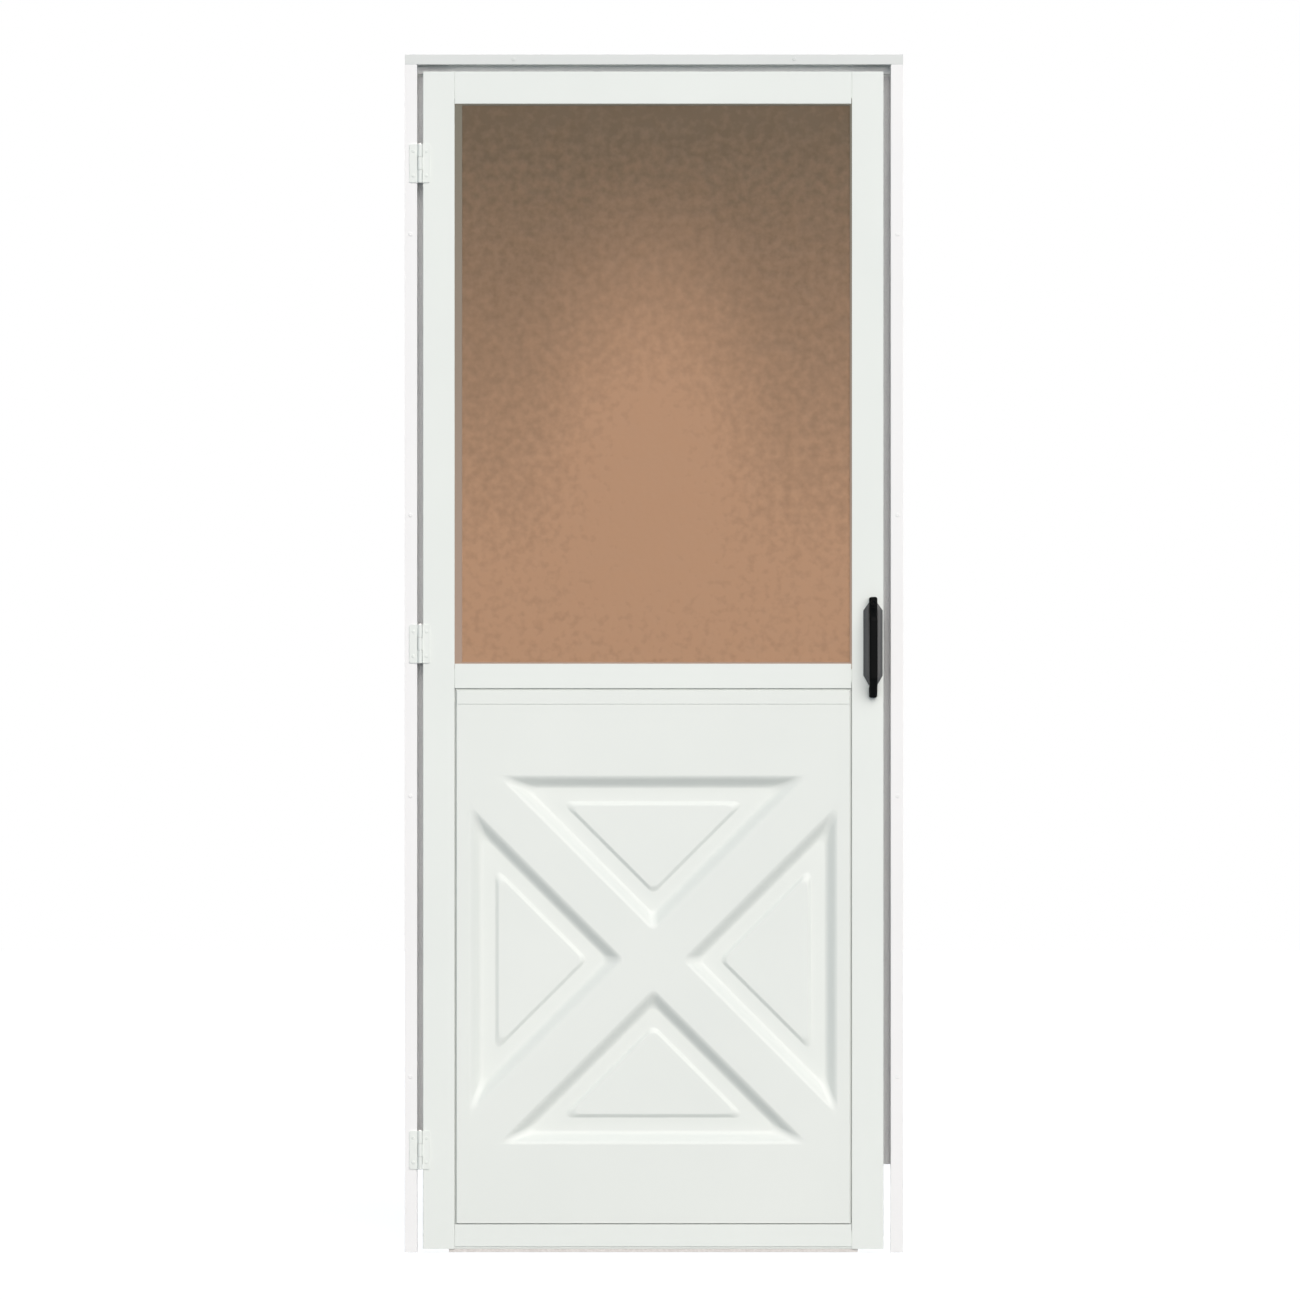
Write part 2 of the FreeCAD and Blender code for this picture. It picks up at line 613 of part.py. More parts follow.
node(block("places.tube_left", "places.front + dims.holder_set", "dims.sill_clearance",
           "places.between", "dims.sweep_width", "dims.sweep_holder"), "sweep_holder")
node(block("places.tube_left", "places.front + dims.fin_set", "dims.sill_clearance - dims.fin_height",
           "places.between", "dims.fin_thickness", "dims.fin_height"), "sweep_fin")

# Pull handle: plate on the stile, grip over it, push button in the grip's upper boss.

plate = body_at("pull_plate", "places.handle_x", "places.front", "dims.handle_level")
plate_outline = sketch_on(plate, "XZ_Plane")
HALF_PLATE = "dims.plate_width / 2"
HALF_TIP = "dims.plate_tip / 2"
polygon(plate_outline, [
    (f"-{HALF_PLATE}", "-dims.plate_waist"),
    (f"-{HALF_TIP}", "-dims.plate_foot"),
    (HALF_TIP, "-dims.plate_foot"),
    (HALF_PLATE, "-dims.plate_waist"),
    (HALF_PLATE, "dims.plate_shoulder"),
    (HALF_TIP, "dims.plate_top"),
    (f"-{HALF_TIP}", "dims.plate_top"),
    (f"-{HALF_PLATE}", "dims.plate_shoulder"),
])
pad(plate, plate_outline, "dims.plate_thickness")
soften(plate, "dims.plate_round", lambda edge: edge.BoundBox.YMax < NEAR - number("dims.plate_thickness"))

grip = body_at("pull_grip", "places.handle_x", "places.front", "dims.handle_level")
grip_profile = sketch_on(grip, "YZ_Plane")
INSIDE = "(dims.grip_bar - dims.grip_stand)"
UNDERSIDE = "(dims.button_level - dims.grip_neck)"
FOOT_TOP = "-(dims.plate_foot + dims.foot_clearance)"
polygon(grip_profile, [
    ("-dims.plate_thickness", "dims.grip_reach"),
    ("-dims.plate_thickness", UNDERSIDE),
    ("-(dims.plate_thickness + dims.grip_root)", UNDERSIDE),
    (INSIDE, f"{UNDERSIDE} - dims.grip_slope"),
    (INSIDE, "-dims.plate_waist"),
    ("-dims.grip_foot", FOOT_TOP),
    ("0", FOOT_TOP),
    ("0", "-dims.grip_reach"),
    ("-dims.grip_foot", "-dims.grip_reach"),
    ("-dims.grip_stand", "-(dims.plate_waist + dims.grip_heel)"),
    ("-dims.grip_stand", "dims.button_level - dims.grip_crest"),
    ("-dims.grip_boss", "dims.button_level - dims.grip_brow"),
    ("-dims.grip_boss", "dims.grip_reach"),
])
pad(grip, grip_profile, "dims.grip_width", middle=True)


def grip_bend(edge):
    across = edge.BoundBox.XLength > NEAR
    return across and edge.CenterOfMass.y < -number("dims.grip_boss") - NEAR


def grip_side(edge):
    along = edge.BoundBox.XLength < NEAR
    back = edge.BoundBox.YMin > -number("dims.plate_thickness") - NEAR
    return along and not back


soften(grip, "dims.grip_bend", grip_bend)
soften(grip, "dims.grip_round", grip_side)
bore = sketch_on(grip, "XZ_Plane", "dims.grip_boss")
circle(bore, "0", "dims.button_level", "dims.button_radius + dims.button_clearance")
pocket(grip, bore, "dims.button_length - dims.button_show + dims.button_stroke + dims.button_seat")

button = body_at("thumb_button", "places.handle_x", "places.front - dims.grip_boss - dims.button_show",
                 "dims.handle_level + dims.button_level")
button_profile = sketch_on(button, "XY_Plane")
polygon(button_profile, [
    ("0", "0"),
    ("dims.button_radius - dims.button_bevel", "0"),
    ("dims.button_radius", "dims.button_bevel"),
    ("dims.button_radius", "dims.button_length"),
    ("0", "dims.button_length"),
])
turn(button, button_profile)

# Latch on the inside: hollow case, lever, withdrawn bolt, and the strike on the stop leg.

CASE_LEFT = "places.case_right - dims.case_width"
CASE_FOOT = "dims.handle_level - dims.case_height / 2"
BOLT_Y = "places.leaf_back + dims.case_depth - dims.case_round - dims.bolt_depth"
BOLT_FOOT = "dims.handle_level - dims.bolt_height / 2"
case = body_at("latch_case", CASE_LEFT, "places.leaf_back", CASE_FOOT)
case_outline = sketch_on(case, "XZ_Plane")
rectangle(case_outline, "0", "0", "dims.case_width", "dims.case_height")
pad(case, case_outline, "dims.case_depth", flipped=True)
soften(case, "dims.case_round", lambda edge: edge.BoundBox.YMax > number("dims.case_depth") - NEAR)
room = sketch_on(case, "XZ_Plane")
rectangle(room, "dims.case_wall", "dims.case_wall", "dims.case_width - dims.case_wall",
          "dims.case_height - dims.case_wall")
pocket(case, room, "dims.case_depth - dims.case_round")
slot = sketch_on(case, "YZ_Plane", "dims.case_width - dims.case_wall")
SLOT_BACK = "(dims.case_depth - dims.case_round)"
rectangle(slot, f"{SLOT_BACK} - dims.bolt_depth", "(dims.case_height - dims.bolt_height) / 2",
          SLOT_BACK, "(dims.case_height + dims.bolt_height) / 2")
pocket(case, slot, "dims.case_wall", flipped=True)
bolt = body_at("latch_bolt", f"{CASE_LEFT} + dims.case_wall", BOLT_Y, BOLT_FOOT)
bolt_outline = sketch_on(bolt, "XY_Plane")
BOLT_LONG = "(dims.case_width - dims.case_wall + dims.bolt_show)"
polygon(bolt_outline, [
    ("0", "0"),
    (f"{BOLT_LONG} - dims.bolt_show", "0"),
    (BOLT_LONG, "dims.bolt_show"),
    (BOLT_LONG, "dims.bolt_depth"),
    ("0", "dims.bolt_depth"),
])
pad(bolt, bolt_outline, "dims.bolt_height")
LEVER_Y = "places.leaf_back + dims.case_depth"
LEVER_X = "(places.case_right - dims.case_width / 2)"
lever = body_at("inside_lever", LEVER_X, LEVER_Y, "dims.handle_level - dims.lever_drop")
hub = sketch_on(lever, "XZ_Plane")
circle(hub, "0", "0", "dims.lever_hub")
pad(lever, hub, "dims.lever_stand + dims.lever_thickness", flipped=True)
arm = sketch_on(lever, "XZ_Plane", "-dims.lever_stand")
polygon(arm, [
    ("0", "dims.lever_width / 2"),
    ("-dims.lever_length", "dims.lever_tip / 2"),
    ("-dims.lever_length", "-dims.lever_tip / 2"),
    ("0", "-dims.lever_width / 2"),
])
pad(lever, arm, "dims.lever_thickness", flipped=True)
soften(lever, "dims.lever_round", lambda edge: edge.CenterOfMass.x < -number("dims.lever_hub"))
node(block("places.stop_edge", "places.stop_back", "dims.handle_level - dims.strike_height / 2",
           "dims.stop_lap + dims.latch_gap", "dims.strike_thickness", "dims.strike_height"), "strike_plate")

doc.recompute()
for item in doc.Objects:
    if "Invalid" in item.State or "Error" in item.State:
        raise RuntimeError(f"{item.Name} ({item.Label}) did not build: {item.State}")
for item in NODES:
    if item.Shape.isNull() or not item.Shape.isValid():
        raise RuntimeError(f"{item.Label} has no valid shape")
    if len(item.Shape.Solids) != 1:
        raise RuntimeError(f"{item.Label} holds {len(item.Shape.Solids)} solids")
os.makedirs("parts", exist_ok=True)
for item in NODES:
    item.Shape.exportStep(f"parts/{item.Label}.step")
    box = item.Shape.BoundBox
    print(item.Label, [round(v, 1) for v in (box.XMin, box.XMax, box.YMin, box.YMax, box.ZMin, box.ZMax)],
          round(item.Shape.Volume))
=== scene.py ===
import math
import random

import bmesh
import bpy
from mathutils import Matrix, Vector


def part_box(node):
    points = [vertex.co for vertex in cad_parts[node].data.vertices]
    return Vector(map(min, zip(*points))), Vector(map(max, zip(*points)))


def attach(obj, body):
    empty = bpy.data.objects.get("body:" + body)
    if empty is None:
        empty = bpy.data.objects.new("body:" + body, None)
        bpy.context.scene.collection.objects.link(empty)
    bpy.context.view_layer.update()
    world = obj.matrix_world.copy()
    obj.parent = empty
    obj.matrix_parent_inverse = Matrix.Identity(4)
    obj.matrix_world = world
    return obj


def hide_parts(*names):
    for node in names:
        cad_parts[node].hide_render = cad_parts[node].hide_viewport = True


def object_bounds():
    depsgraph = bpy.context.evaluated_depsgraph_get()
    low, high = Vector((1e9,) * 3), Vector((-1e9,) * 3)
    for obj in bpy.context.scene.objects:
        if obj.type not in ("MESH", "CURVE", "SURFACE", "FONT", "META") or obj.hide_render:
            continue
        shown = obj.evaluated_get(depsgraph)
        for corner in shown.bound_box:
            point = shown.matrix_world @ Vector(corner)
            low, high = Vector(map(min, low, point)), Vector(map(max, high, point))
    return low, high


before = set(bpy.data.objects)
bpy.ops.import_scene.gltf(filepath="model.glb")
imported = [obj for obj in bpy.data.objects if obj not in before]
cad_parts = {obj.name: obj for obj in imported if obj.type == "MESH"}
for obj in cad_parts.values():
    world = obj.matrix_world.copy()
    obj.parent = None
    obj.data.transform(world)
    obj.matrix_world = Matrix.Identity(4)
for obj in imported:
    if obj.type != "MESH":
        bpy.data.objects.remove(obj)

# %% [markdown]
# # A white aluminium storm door
# The door hangs in a frame of thin Z-shaped bars. Its leaf has a bronze pane above a
# middle rail and a pressed crossbuck panel below it. The CAD solids give every size, so
# each piece below reads its place from its solid's box and adds what the solid lacks:
# rounded edges, soft pressings, screw heads, pile and paint.

MM = 0.001
scene = bpy.context.scene
cad_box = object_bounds()
print("CAD box", [list(corner) for corner in cad_box])

# %% [markdown]
# ## Camera
# The picture looks straight at the outside of the door from far away: its uprights stay
# parallel and the edges of the jambs don't show. A flat projection would do that too, but
# a long lens a good way off gives the same picture and still behaves like a camera.

# %% Camera
IMAGE = 1300
PIXEL = 1.709 * MM
DOOR_PIXEL = (653.98, 653.5)
CAMERA_DISTANCE = 14.0
SENSOR = 36.0

door_middle = (cad_box[0] + cad_box[1]) / 2
camera_data = bpy.data.cameras.new("camera")
camera_data.sensor_width = SENSOR
camera_data.lens = SENSOR * CAMERA_DISTANCE / (IMAGE * PIXEL)
camera = bpy.data.objects.new("camera", camera_data)
camera.location = (
    door_middle.x + (IMAGE / 2 - DOOR_PIXEL[0]) * PIXEL,
    -CAMERA_DISTANCE,
    door_middle.z + (DOOR_PIXEL[1] - IMAGE / 2) * PIXEL,
)
camera.rotation_euler = (math.radians(90), 0, 0)
scene.collection.objects.link(camera)
scene.camera = camera
print("lens", round(camera_data.lens, 1), "mm at", [round(c, 3) for c in camera.location])

# %% [markdown]
# ## Building materials from nodes
# A finish is a small tree of nodes. Written out in full, it takes a line for every node,
# value and link. Here one helper adds a node and fills its sockets, either with a number or
# with a link from another node, so a finish can be read from top to bottom.

# %% Node helpers
def new_finish(name):
    finish = bpy.data.materials.new(name)
    finish.use_nodes = True
    return finish, finish.node_tree, finish.node_tree.nodes["Principled BSDF"]


def add_node(tree, kind, sockets, **settings):
    made = tree.nodes.new("ShaderNode" + kind)
    for name, value in settings.items():
        setattr(made, name, value)
    fill_sockets(tree, made, sockets)
    return made


def fill_sockets(tree, made, sockets):
    for name, value in sockets.items():
        if isinstance(value, bpy.types.NodeSocket):
            tree.links.new(value, made.inputs[name])
        else:
            made.inputs[name].default_value = value


print("node helpers ready")

# %% [markdown]
# ## Patterns
# Paint and vinyl are never quite even. Pictures could show that, but noise needs no file and
# never repeats. It sits on Object coordinates, which are metres here because every piece has
# its place in its mesh. Noise keeps to the middle of its range, so one helper spreads that
# part over the values that are wanted, one turns it into colours and one into bumps.

# %% Pattern helpers
NOISE_LOW, NOISE_HIGH = 0.3, 0.7


def object_spot(tree):
    return add_node(tree, "TexCoord", {}).outputs["Object"]


def grain(tree, scale, detail=2.0, stretch=(1, 1, 1)):
    sockets = {"Vector": object_spot(tree), "Scale": stretch}
    spread = add_node(tree, "Mapping", sockets).outputs["Vector"]
    noise = add_node(tree, "TexNoise", {"Vector": spread, "Scale": scale, "Detail": detail})
    return noise.outputs["Fac"]


def between(tree, value, low, high, least=NOISE_LOW, most=NOISE_HIGH):
    sockets = {"Value": value, "From Min": least, "From Max": most,
               "To Min": low, "To Max": high}
    return add_node(tree, "MapRange", sockets).outputs["Result"]


def tones(tree, value, *stops):
    ramp = add_node(tree, "ValToRGB", {"Fac": value})
    for point, (place, colour) in zip(ramp.color_ramp.elements, stops):
        point.position, point.color = place, (*colour, 1)
    return ramp.outputs["Color"]


def bumps(tree, *heights):
    normal = None
    for height, strength, distance in heights:
        sockets = {"Height": height, "Strength": strength, "Distance": distance}
        if normal:
            sockets["Normal"] = normal
        normal = add_node(tree, "Bump", sockets).outputs["Normal"]
    return normal


print("noise spreads from", NOISE_LOW, "to", NOISE_HIGH)

# %% [markdown]
# ## World and lamps
# The backdrop is white. Light from all around would leave the pressed panel flat. So the
# camera, and whatever shines, sees the world at full white, while the light that the world
# gives off is weaker and a little cool. One large soft lamp from the front, above and a
# little to the right, adds the rest and shows the slopes. Together they light the front of
# the door to about one, so a colour renders as it is written. Two weaker lamps stand low
# behind the door, one to each side, for its inside and its edges, which the first one
# doesn't reach.

# %% World and lamps
SKY_LIGHT = (0.082, 0.158, 0.228)
LAMP_COLOUR = (1.0, 0.922, 0.868)
LAMPS = {
    "front_lamp": {"strength": 3.08, "spread": 60.0, "source": (0.192, -0.865, 0.464)},
    "back_hinge_lamp": {"strength": 2.30, "spread": 25.0, "source": (-0.52, 0.80, 0.29)},
    "back_latch_lamp": {"strength": 1.30, "spread": 25.0, "source": (0.68, 0.68, 0.26)},
}


def seen_directly(tree):
    path = add_node(tree, "LightPath", {}).outputs
    seen = path["Is Camera Ray"]
    for ray in ("Is Glossy Ray", "Is Transmission Ray"):
        either = add_node(tree, "Math", {0: seen, 1: path[ray]}, operation="MAXIMUM")
        seen = either.outputs[0]
    return seen


scene.view_settings.view_transform = "Standard"
scene.world = bpy.data.worlds.new("studio")
scene.world.use_nodes = True
sky = scene.world.node_tree
sky_colour = tones(sky, seen_directly(sky), (0.0, SKY_LIGHT), (1.0, (1, 1, 1)))
fill_sockets(sky, sky.nodes["Background"], {"Color": sky_colour, "Strength": 1.0})


def soft_lamp(name, strength, spread, source):
    light = bpy.data.lights.new(name, "SUN")
    light.energy = strength
    light.color = LAMP_COLOUR
    light.angle = math.radians(spread)
    lamp = bpy.data.objects.new(name, light)
    lamp.rotation_euler = Vector(source).to_track_quat("Z", "Y").to_euler()
    scene.collection.objects.link(lamp)


for name, lamp in LAMPS.items():
    soft_lamp(name, **lamp)
print("lamps", list(LAMPS))

# %% [markdown]
# ## Floor
# The door stands on a white floor. A plain white one would throw so much light upwards that
# the foot of the door would turn too bright. So what the camera sees of it glows white, while
# its own paint is darker and gives back less light.

# %% Floor
FLOOR_BOUNCE = (0.270, 0.290, 0.305, 1)
FLOOR_GLOW = 0.82
FLOOR_REACH = 14.0
FLOOR_DROP = 0.5 * MM

floor_paint, tree, paint = new_finish("floor_paint")
glow = between(tree, seen_directly(tree), 0.0, FLOOR_GLOW, 0.0, 1.0)
fill_sockets(tree, paint, {
    "Base Color": FLOOR_BOUNCE,
    "Roughness": 1.0,
    "Specular IOR Level": 0.0,
    "Emission Color": (1, 1, 1, 1),
    "Emission Strength": glow,
})
bm = bmesh.new()
bmesh.ops.create_grid(bm, x_segments=2, y_segments=2, size=FLOOR_REACH)
bmesh.ops.translate(bm, verts=bm.verts[:], vec=(door_middle.x, 0, -FLOOR_DROP))
floor_mesh = bpy.data.meshes.new("floor")
bm.to_mesh(floor_mesh)
bm.free()
floor_mesh.materials.append(floor_paint)
floor = bpy.data.objects.new("floor", floor_mesh)
scene.collection.objects.link(floor)
print("floor", 2 * FLOOR_REACH, "m wide")

# %% [markdown]
# ## Baked white enamel
# Storm door extrusions are sprayed and baked: a satin white with a breath of green, fine
# orange peel, and faint lines along the length left by the die. A flat white would look
# like plastic. The lines are noise squeezed along one axis, so uprights and level bars
# get a finish each. Jambs and header wear the same white, but the jambs get a lighter copy,
# which is painted light, and the header a darker copy, which is painted shade.

# %% White enamel
ENAMEL = (0.790, 0.832, 0.797)
ENAMEL_DULL = (0.770, 0.812, 0.780)
PANEL_WHITE = (0.782, 0.820, 0.784)
PANEL_DULL = (0.760, 0.800, 0.766)
# Painted light: the jambs' copy of the white is lighter than the enamel's.
JAMB_WHITE_PAINTED_LIGHT = (0.880, 0.885, 0.882)
JAMB_DULL_PAINTED_LIGHT = (0.858, 0.866, 0.862)
# Painted shade: the header's copy of the same white is darker.
HEAD_WHITE_PAINTED_SHADE = (0.700, 0.730, 0.714)
HEAD_DULL_PAINTED_SHADE = (0.680, 0.712, 0.696)
DIE_LINE = 0.012
CLOUD_SCALE, CLOUD_DETAIL = 2.6, 3.0
CLOUD_LOW, CLOUD_HIGH = 0.32, 0.68
WEAR_SCALE, WEAR_DETAIL = 9.0, 4.0
ENAMEL_ROUGH = (0.36, 0.46)
PEEL_SCALE, LINE_SCALE = 620.0, 820.0
FINE_DETAIL = 1.0
PEEL_BUMP = (0.08, 0.15 * MM)
LINE_BUMP = (0.10, 0.1 * MM)


def enamel(name, colour, dull, stretch):
    finish, tree, paint = new_finish(name)
    cloud = grain(tree, CLOUD_SCALE, CLOUD_DETAIL)
    wear = grain(tree, WEAR_SCALE, WEAR_DETAIL)
    peel = grain(tree, PEEL_SCALE, FINE_DETAIL)
    lines = grain(tree, LINE_SCALE, FINE_DETAIL, stretch)
    fill_sockets(tree, paint, {
        "Base Color": tones(tree, cloud, (CLOUD_LOW, dull), (CLOUD_HIGH, colour)),
        "Roughness": between(tree, wear, *ENAMEL_ROUGH),
        "Normal": bumps(tree, (lines, *LINE_BUMP), (peel, *PEEL_BUMP)),
        "Specular IOR Level": 0.4,
    })
    return finish


upright_enamel = enamel("upright_enamel", ENAMEL, ENAMEL_DULL, (1, 1, DIE_LINE))
level_enamel = enamel("level_enamel", ENAMEL, ENAMEL_DULL, (DIE_LINE, 1, 1))
panel_enamel = enamel("panel_enamel", PANEL_WHITE, PANEL_DULL, (1, 1, 1))
jamb_enamel = enamel("jamb_enamel", JAMB_WHITE_PAINTED_LIGHT, JAMB_DULL_PAINTED_LIGHT, (1, 1, DIE_LINE))
head_enamel_painted_shade = enamel("head_enamel_painted_shade", HEAD_WHITE_PAINTED_SHADE, HEAD_DULL_PAINTED_SHADE, (DIE_LINE, 1, 1))
print("enamel on uprights, level bars, the pressed panel, jambs and header")

# %% [markdown]
# ## Bronze obscure glass
# The pane is tinted and rolled with a shallow hammered pattern, and light comes through it
# softened. The light that falls through it and off it leaves it darkest at the top, warmer
# towards the foot and lighter in the middle. A clear glass shader would show only the
# backdrop. So that light and shade are painted into the tint: a painted shade that slopes down
# the pane plus a soft round painted glow, both on Object coordinates, and part of the light
# passes through. The hammered pattern shifts the tint a little from spot to spot, most where
# the pane is painted lightest.

# %% Bronze glass
GLASS_SMOKE = (0.112, 0.068, 0.026)
GLASS_TAN = (0.480, 0.272, 0.150)
PAINTED_SLOPE_FOOT, PAINTED_SLOPE_HEAD = 0.17, 0.03
PAINTED_SLOPE_WARMTH = 0.98
PAINTED_GLOW_LEVEL = 0.455
PAINTED_GLOW_REACH = (0.27, 100.0, 0.47)
PAINTED_GLOW_STRENGTH = 0.42
HAMMER = 66.0
HAMMER_BUMP = (0.25, 1.0 * MM)
RIPPLE_SCALE, RIPPLE_DETAIL = 30.0, 3.0
GLASS_ROUGH = (0.28, 0.36)
MOTTLE = 0.13
MOTTLE_SHARE = (0.65, 1.25)

pane_low, pane_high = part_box("storm_glass")
pane_tall = pane_high.z - pane_low.z
pane_middle = (pane_low + pane_high) / 2
bronze_glass, tree, glass = new_finish("bronze_glass")
spot = object_spot(tree)
height = add_node(tree, "SeparateXYZ", {"Vector": spot}).outputs["Z"]
# Painted shade: the tint darkens from the foot towards the head, as light falls on the pane.
painted_slope = between(tree, height, PAINTED_SLOPE_WARMTH, 0.0,
               pane_low.z + PAINTED_SLOPE_FOOT * pane_tall, pane_high.z - PAINTED_SLOPE_HEAD * pane_tall)
# Painted glow: a soft round lighter patch in the middle of the pane, standing for light coming
# through it.
painted_glow_spot = add_node(tree, "Mapping", {
    "Vector": spot,
    "Location": (pane_middle.x, 0, pane_low.z + PAINTED_GLOW_LEVEL * pane_tall),
    "Scale": PAINTED_GLOW_REACH,
}, vector_type="TEXTURE").outputs["Vector"]
painted_glow_cone = add_node(tree, "TexGradient", {"Vector": painted_glow_spot}, gradient_type="SPHERICAL")
painted_glow = add_node(tree, "MapRange", {
    "Value": painted_glow_cone.outputs["Fac"],
    "To Max": PAINTED_GLOW_STRENGTH,
}, interpolation_type="SMOOTHSTEP").outputs["Result"]
painted_light_and_mottle = add_node(tree, "Math", {0: painted_slope, 1: painted_glow}, operation="ADD").outputs[0]
mottle = between(tree, grain(tree, HAMMER), -MOTTLE, MOTTLE)
share = between(tree, painted_slope, *MOTTLE_SHARE, 0.0, 1.0)
mottle = add_node(tree, "Math", {0: mottle, 1: share}, operation="MULTIPLY").outputs[0]
painted_light_and_mottle = add_node(tree, "Math", {0: painted_light_and_mottle, 1: mottle}, operation="ADD").outputs[0]
fill_sockets(tree, glass, {
    "Base Color": tones(tree, painted_light_and_mottle, (0.0, GLASS_SMOKE), (1.0, GLASS_TAN)),
    "Roughness": between(tree, grain(tree, RIPPLE_SCALE, RIPPLE_DETAIL), *GLASS_ROUGH),
    "Transmission Weight": 0.3,
    "IOR": 1.5,
    "Specular IOR Level": 0.2,
    "Normal": bumps(tree, (grain(tree, HAMMER, FINE_DETAIL), *HAMMER_BUMP)),
})
print("pane", [round(c, 3) for c in (pane_high - pane_low)])

# %% [markdown]
# ## Handle, steel, vinyl and pile
# The pull is black powder coat, which has a fine pebble. Pins, bolt and strike are zinc
# plated. The sweep is matt vinyl. The weatherstrip is woven pile, so it gets a velvet
# sheen and a fibre pattern. All three strips are the same pile, but the one under the header
# is painted whitest and the one on the hinge side a little lighter than the one by the latch:
# painted light against the shade in the gaps. Each finish could have a tree of its own, but
# they differ only in their values, so one recipe makes them all.

# %% Small finishes
PEBBLE_DETAIL = 3.0
PEBBLE_HIGH = 0.2 * MM
PILE_LOOK = {"scale": 1100.0, "rough": (0.90, 1.00), "bump": 0.8, "Sheen_Weight": 0.4}


def plain_finish(name, dark, light, scale, rough, bump, **sockets):
    finish, tree, paint = new_finish(name)
    pattern = grain(tree, scale, PEBBLE_DETAIL)
    fill_sockets(tree, paint, {
        "Base Color": tones(tree, pattern, (NOISE_LOW, dark), (NOISE_HIGH, light)),
        "Roughness": between(tree, pattern, *rough),
        "Normal": bumps(tree, (pattern, bump, PEBBLE_HIGH)),
    })
    named = {socket.replace("_", " "): value for socket, value in sockets.items()}
    fill_sockets(tree, paint, named)
    return finish


handle_black = plain_finish(
    "handle_black", (0.0012, 0.0017, 0.0018), (0.0028, 0.0035, 0.0037),
    scale=900.0, rough=(0.42, 0.54), bump=0.25, Specular_IOR_Level=0.045)
# Painted sheen: the plate wears the grip's black coat, but its base colour is a lighter grey for
# the sheen that it catches.
plate_painted_sheen = plain_finish(
    "plate_painted_sheen", (0.038, 0.041, 0.043), (0.058, 0.063, 0.066),
    scale=700.0, rough=(0.34, 0.46), bump=0.18, Specular_IOR_Level=0.6)
plated_steel = plain_finish(
    "plated_steel", (0.56, 0.56, 0.54), (0.68, 0.68, 0.66),
    scale=260.0, rough=(0.26, 0.40), bump=0.06, Metallic=1.0)
sweep_vinyl = plain_finish(
    "sweep_vinyl", (0.66, 0.63, 0.60), (0.76, 0.74, 0.71),
    scale=200.0, rough=(0.55, 0.70), bump=0.15)
pile_grey = plain_finish("pile_grey", (0.44, 0.44, 0.45), (0.58, 0.58, 0.59), **PILE_LOOK)
# Painted light: the hinge-side and header strips are lighter copies of the latch's pile.
pile_painted_light = plain_finish("pile_painted_light", (0.54, 0.54, 0.55), (0.70, 0.70, 0.71), **PILE_LOOK)
pile_white_painted_light = plain_finish("pile_white_painted_light", (0.88, 0.88, 0.88), (0.96, 0.96, 0.96), **PILE_LOOK)
print("handle, steel, sweep and pile finishes")

# %% [markdown]
# ## Shaping with bmesh
# Extruded bars are best drawn the way a mill makes them: an outline drawn out along its
# length. Lips and legs are then pushed out of a face, after a plane has cut that face to
# size. Blender's extrude leaves the old face behind, so pushing deletes it and each bar
# stays one closed skin.

# %% Drawing out and pushing
def draw_out(bm, faces, along):
    grown = bmesh.ops.extrude_face_region(bm, geom=faces)["geom"]
    tip = [item for item in grown if isinstance(item, bmesh.types.BMVert)]
    bmesh.ops.translate(bm, verts=tip, vec=along)
    return [item for item in grown if isinstance(item, bmesh.types.BMFace)]


def push(bm, faces, along):
    moved = draw_out(bm, faces, along)
    bmesh.ops.delete(bm, geom=faces, context="FACES")
    return moved


def prism(points, along):
    bm = bmesh.new()
    outline = bm.faces.new([bm.verts.new(point) for point in points])
    draw_out(bm, [outline], along)
    bmesh.ops.recalc_face_normals(bm, faces=bm.faces[:])
    return bm


def block(low, high):
    bm = bmesh.new()
    bmesh.ops.create_cube(bm, size=1.0)
    low, high = Vector(low), Vector(high)
    bmesh.ops.scale(bm, verts=bm.verts[:], vec=[abs(side) for side in (high - low)])
    bmesh.ops.translate(bm, verts=bm.verts[:], vec=(low + high) / 2)
    return bm


print("bars can be drawn out and pushed")

# %% [markdown]
# ## Cutting and finding
# A mesh has no list of named faces, and counting them breaks as soon as a step is added. So
# faces are found by the plane that they lie on, and edges by how sharply they fold and which
# way they run. A cut lays a row of edges where a plane crosses the mesh.

# %% Cutting and finding
NEAR = 1e-5
SAME = NEAR / 10
ALONG = 0.99
CREASE = math.radians(20)


def cut(bm, axis, place, faces=None):
    normal = Vector((0, 0, 0))
    normal[axis] = 1
    cut_plane(bm, normal * place, normal, faces)


def cut_plane(bm, point, normal, faces=None):
    geom = bm.verts[:] + bm.edges[:] + bm.faces[:]
    if faces is not None:
        geom = list({item for face in faces for item in (face, *face.edges, *face.verts)})
    bmesh.ops.bisect_plane(bm, geom=geom, plane_co=point, plane_no=normal, dist=SAME)


def faces_on(bm, axis, place, wanted=lambda middle: True):
    found = []
    for face in bm.faces:
        flat = all(abs(corner.co[axis] - place) < NEAR for corner in face.verts)
        if flat and wanted(face.calc_center_median()):
            found.append(face)
    return found


def ridges(bm, wanted=lambda edge: True):
    return [edge for edge in bm.edges
            if len(edge.link_faces) == 2 and edge.calc_face_angle() > CREASE and wanted(edge)]


def runs_along(axis):
    def wanted(edge):
        way = (edge.verts[1].co - edge.verts[0].co).normalized()
        return abs(way[axis]) > ALONG and edge.is_convex
    return wanted


print("edges that fold by more than", round(math.degrees(CREASE)), "degrees count as ridges")

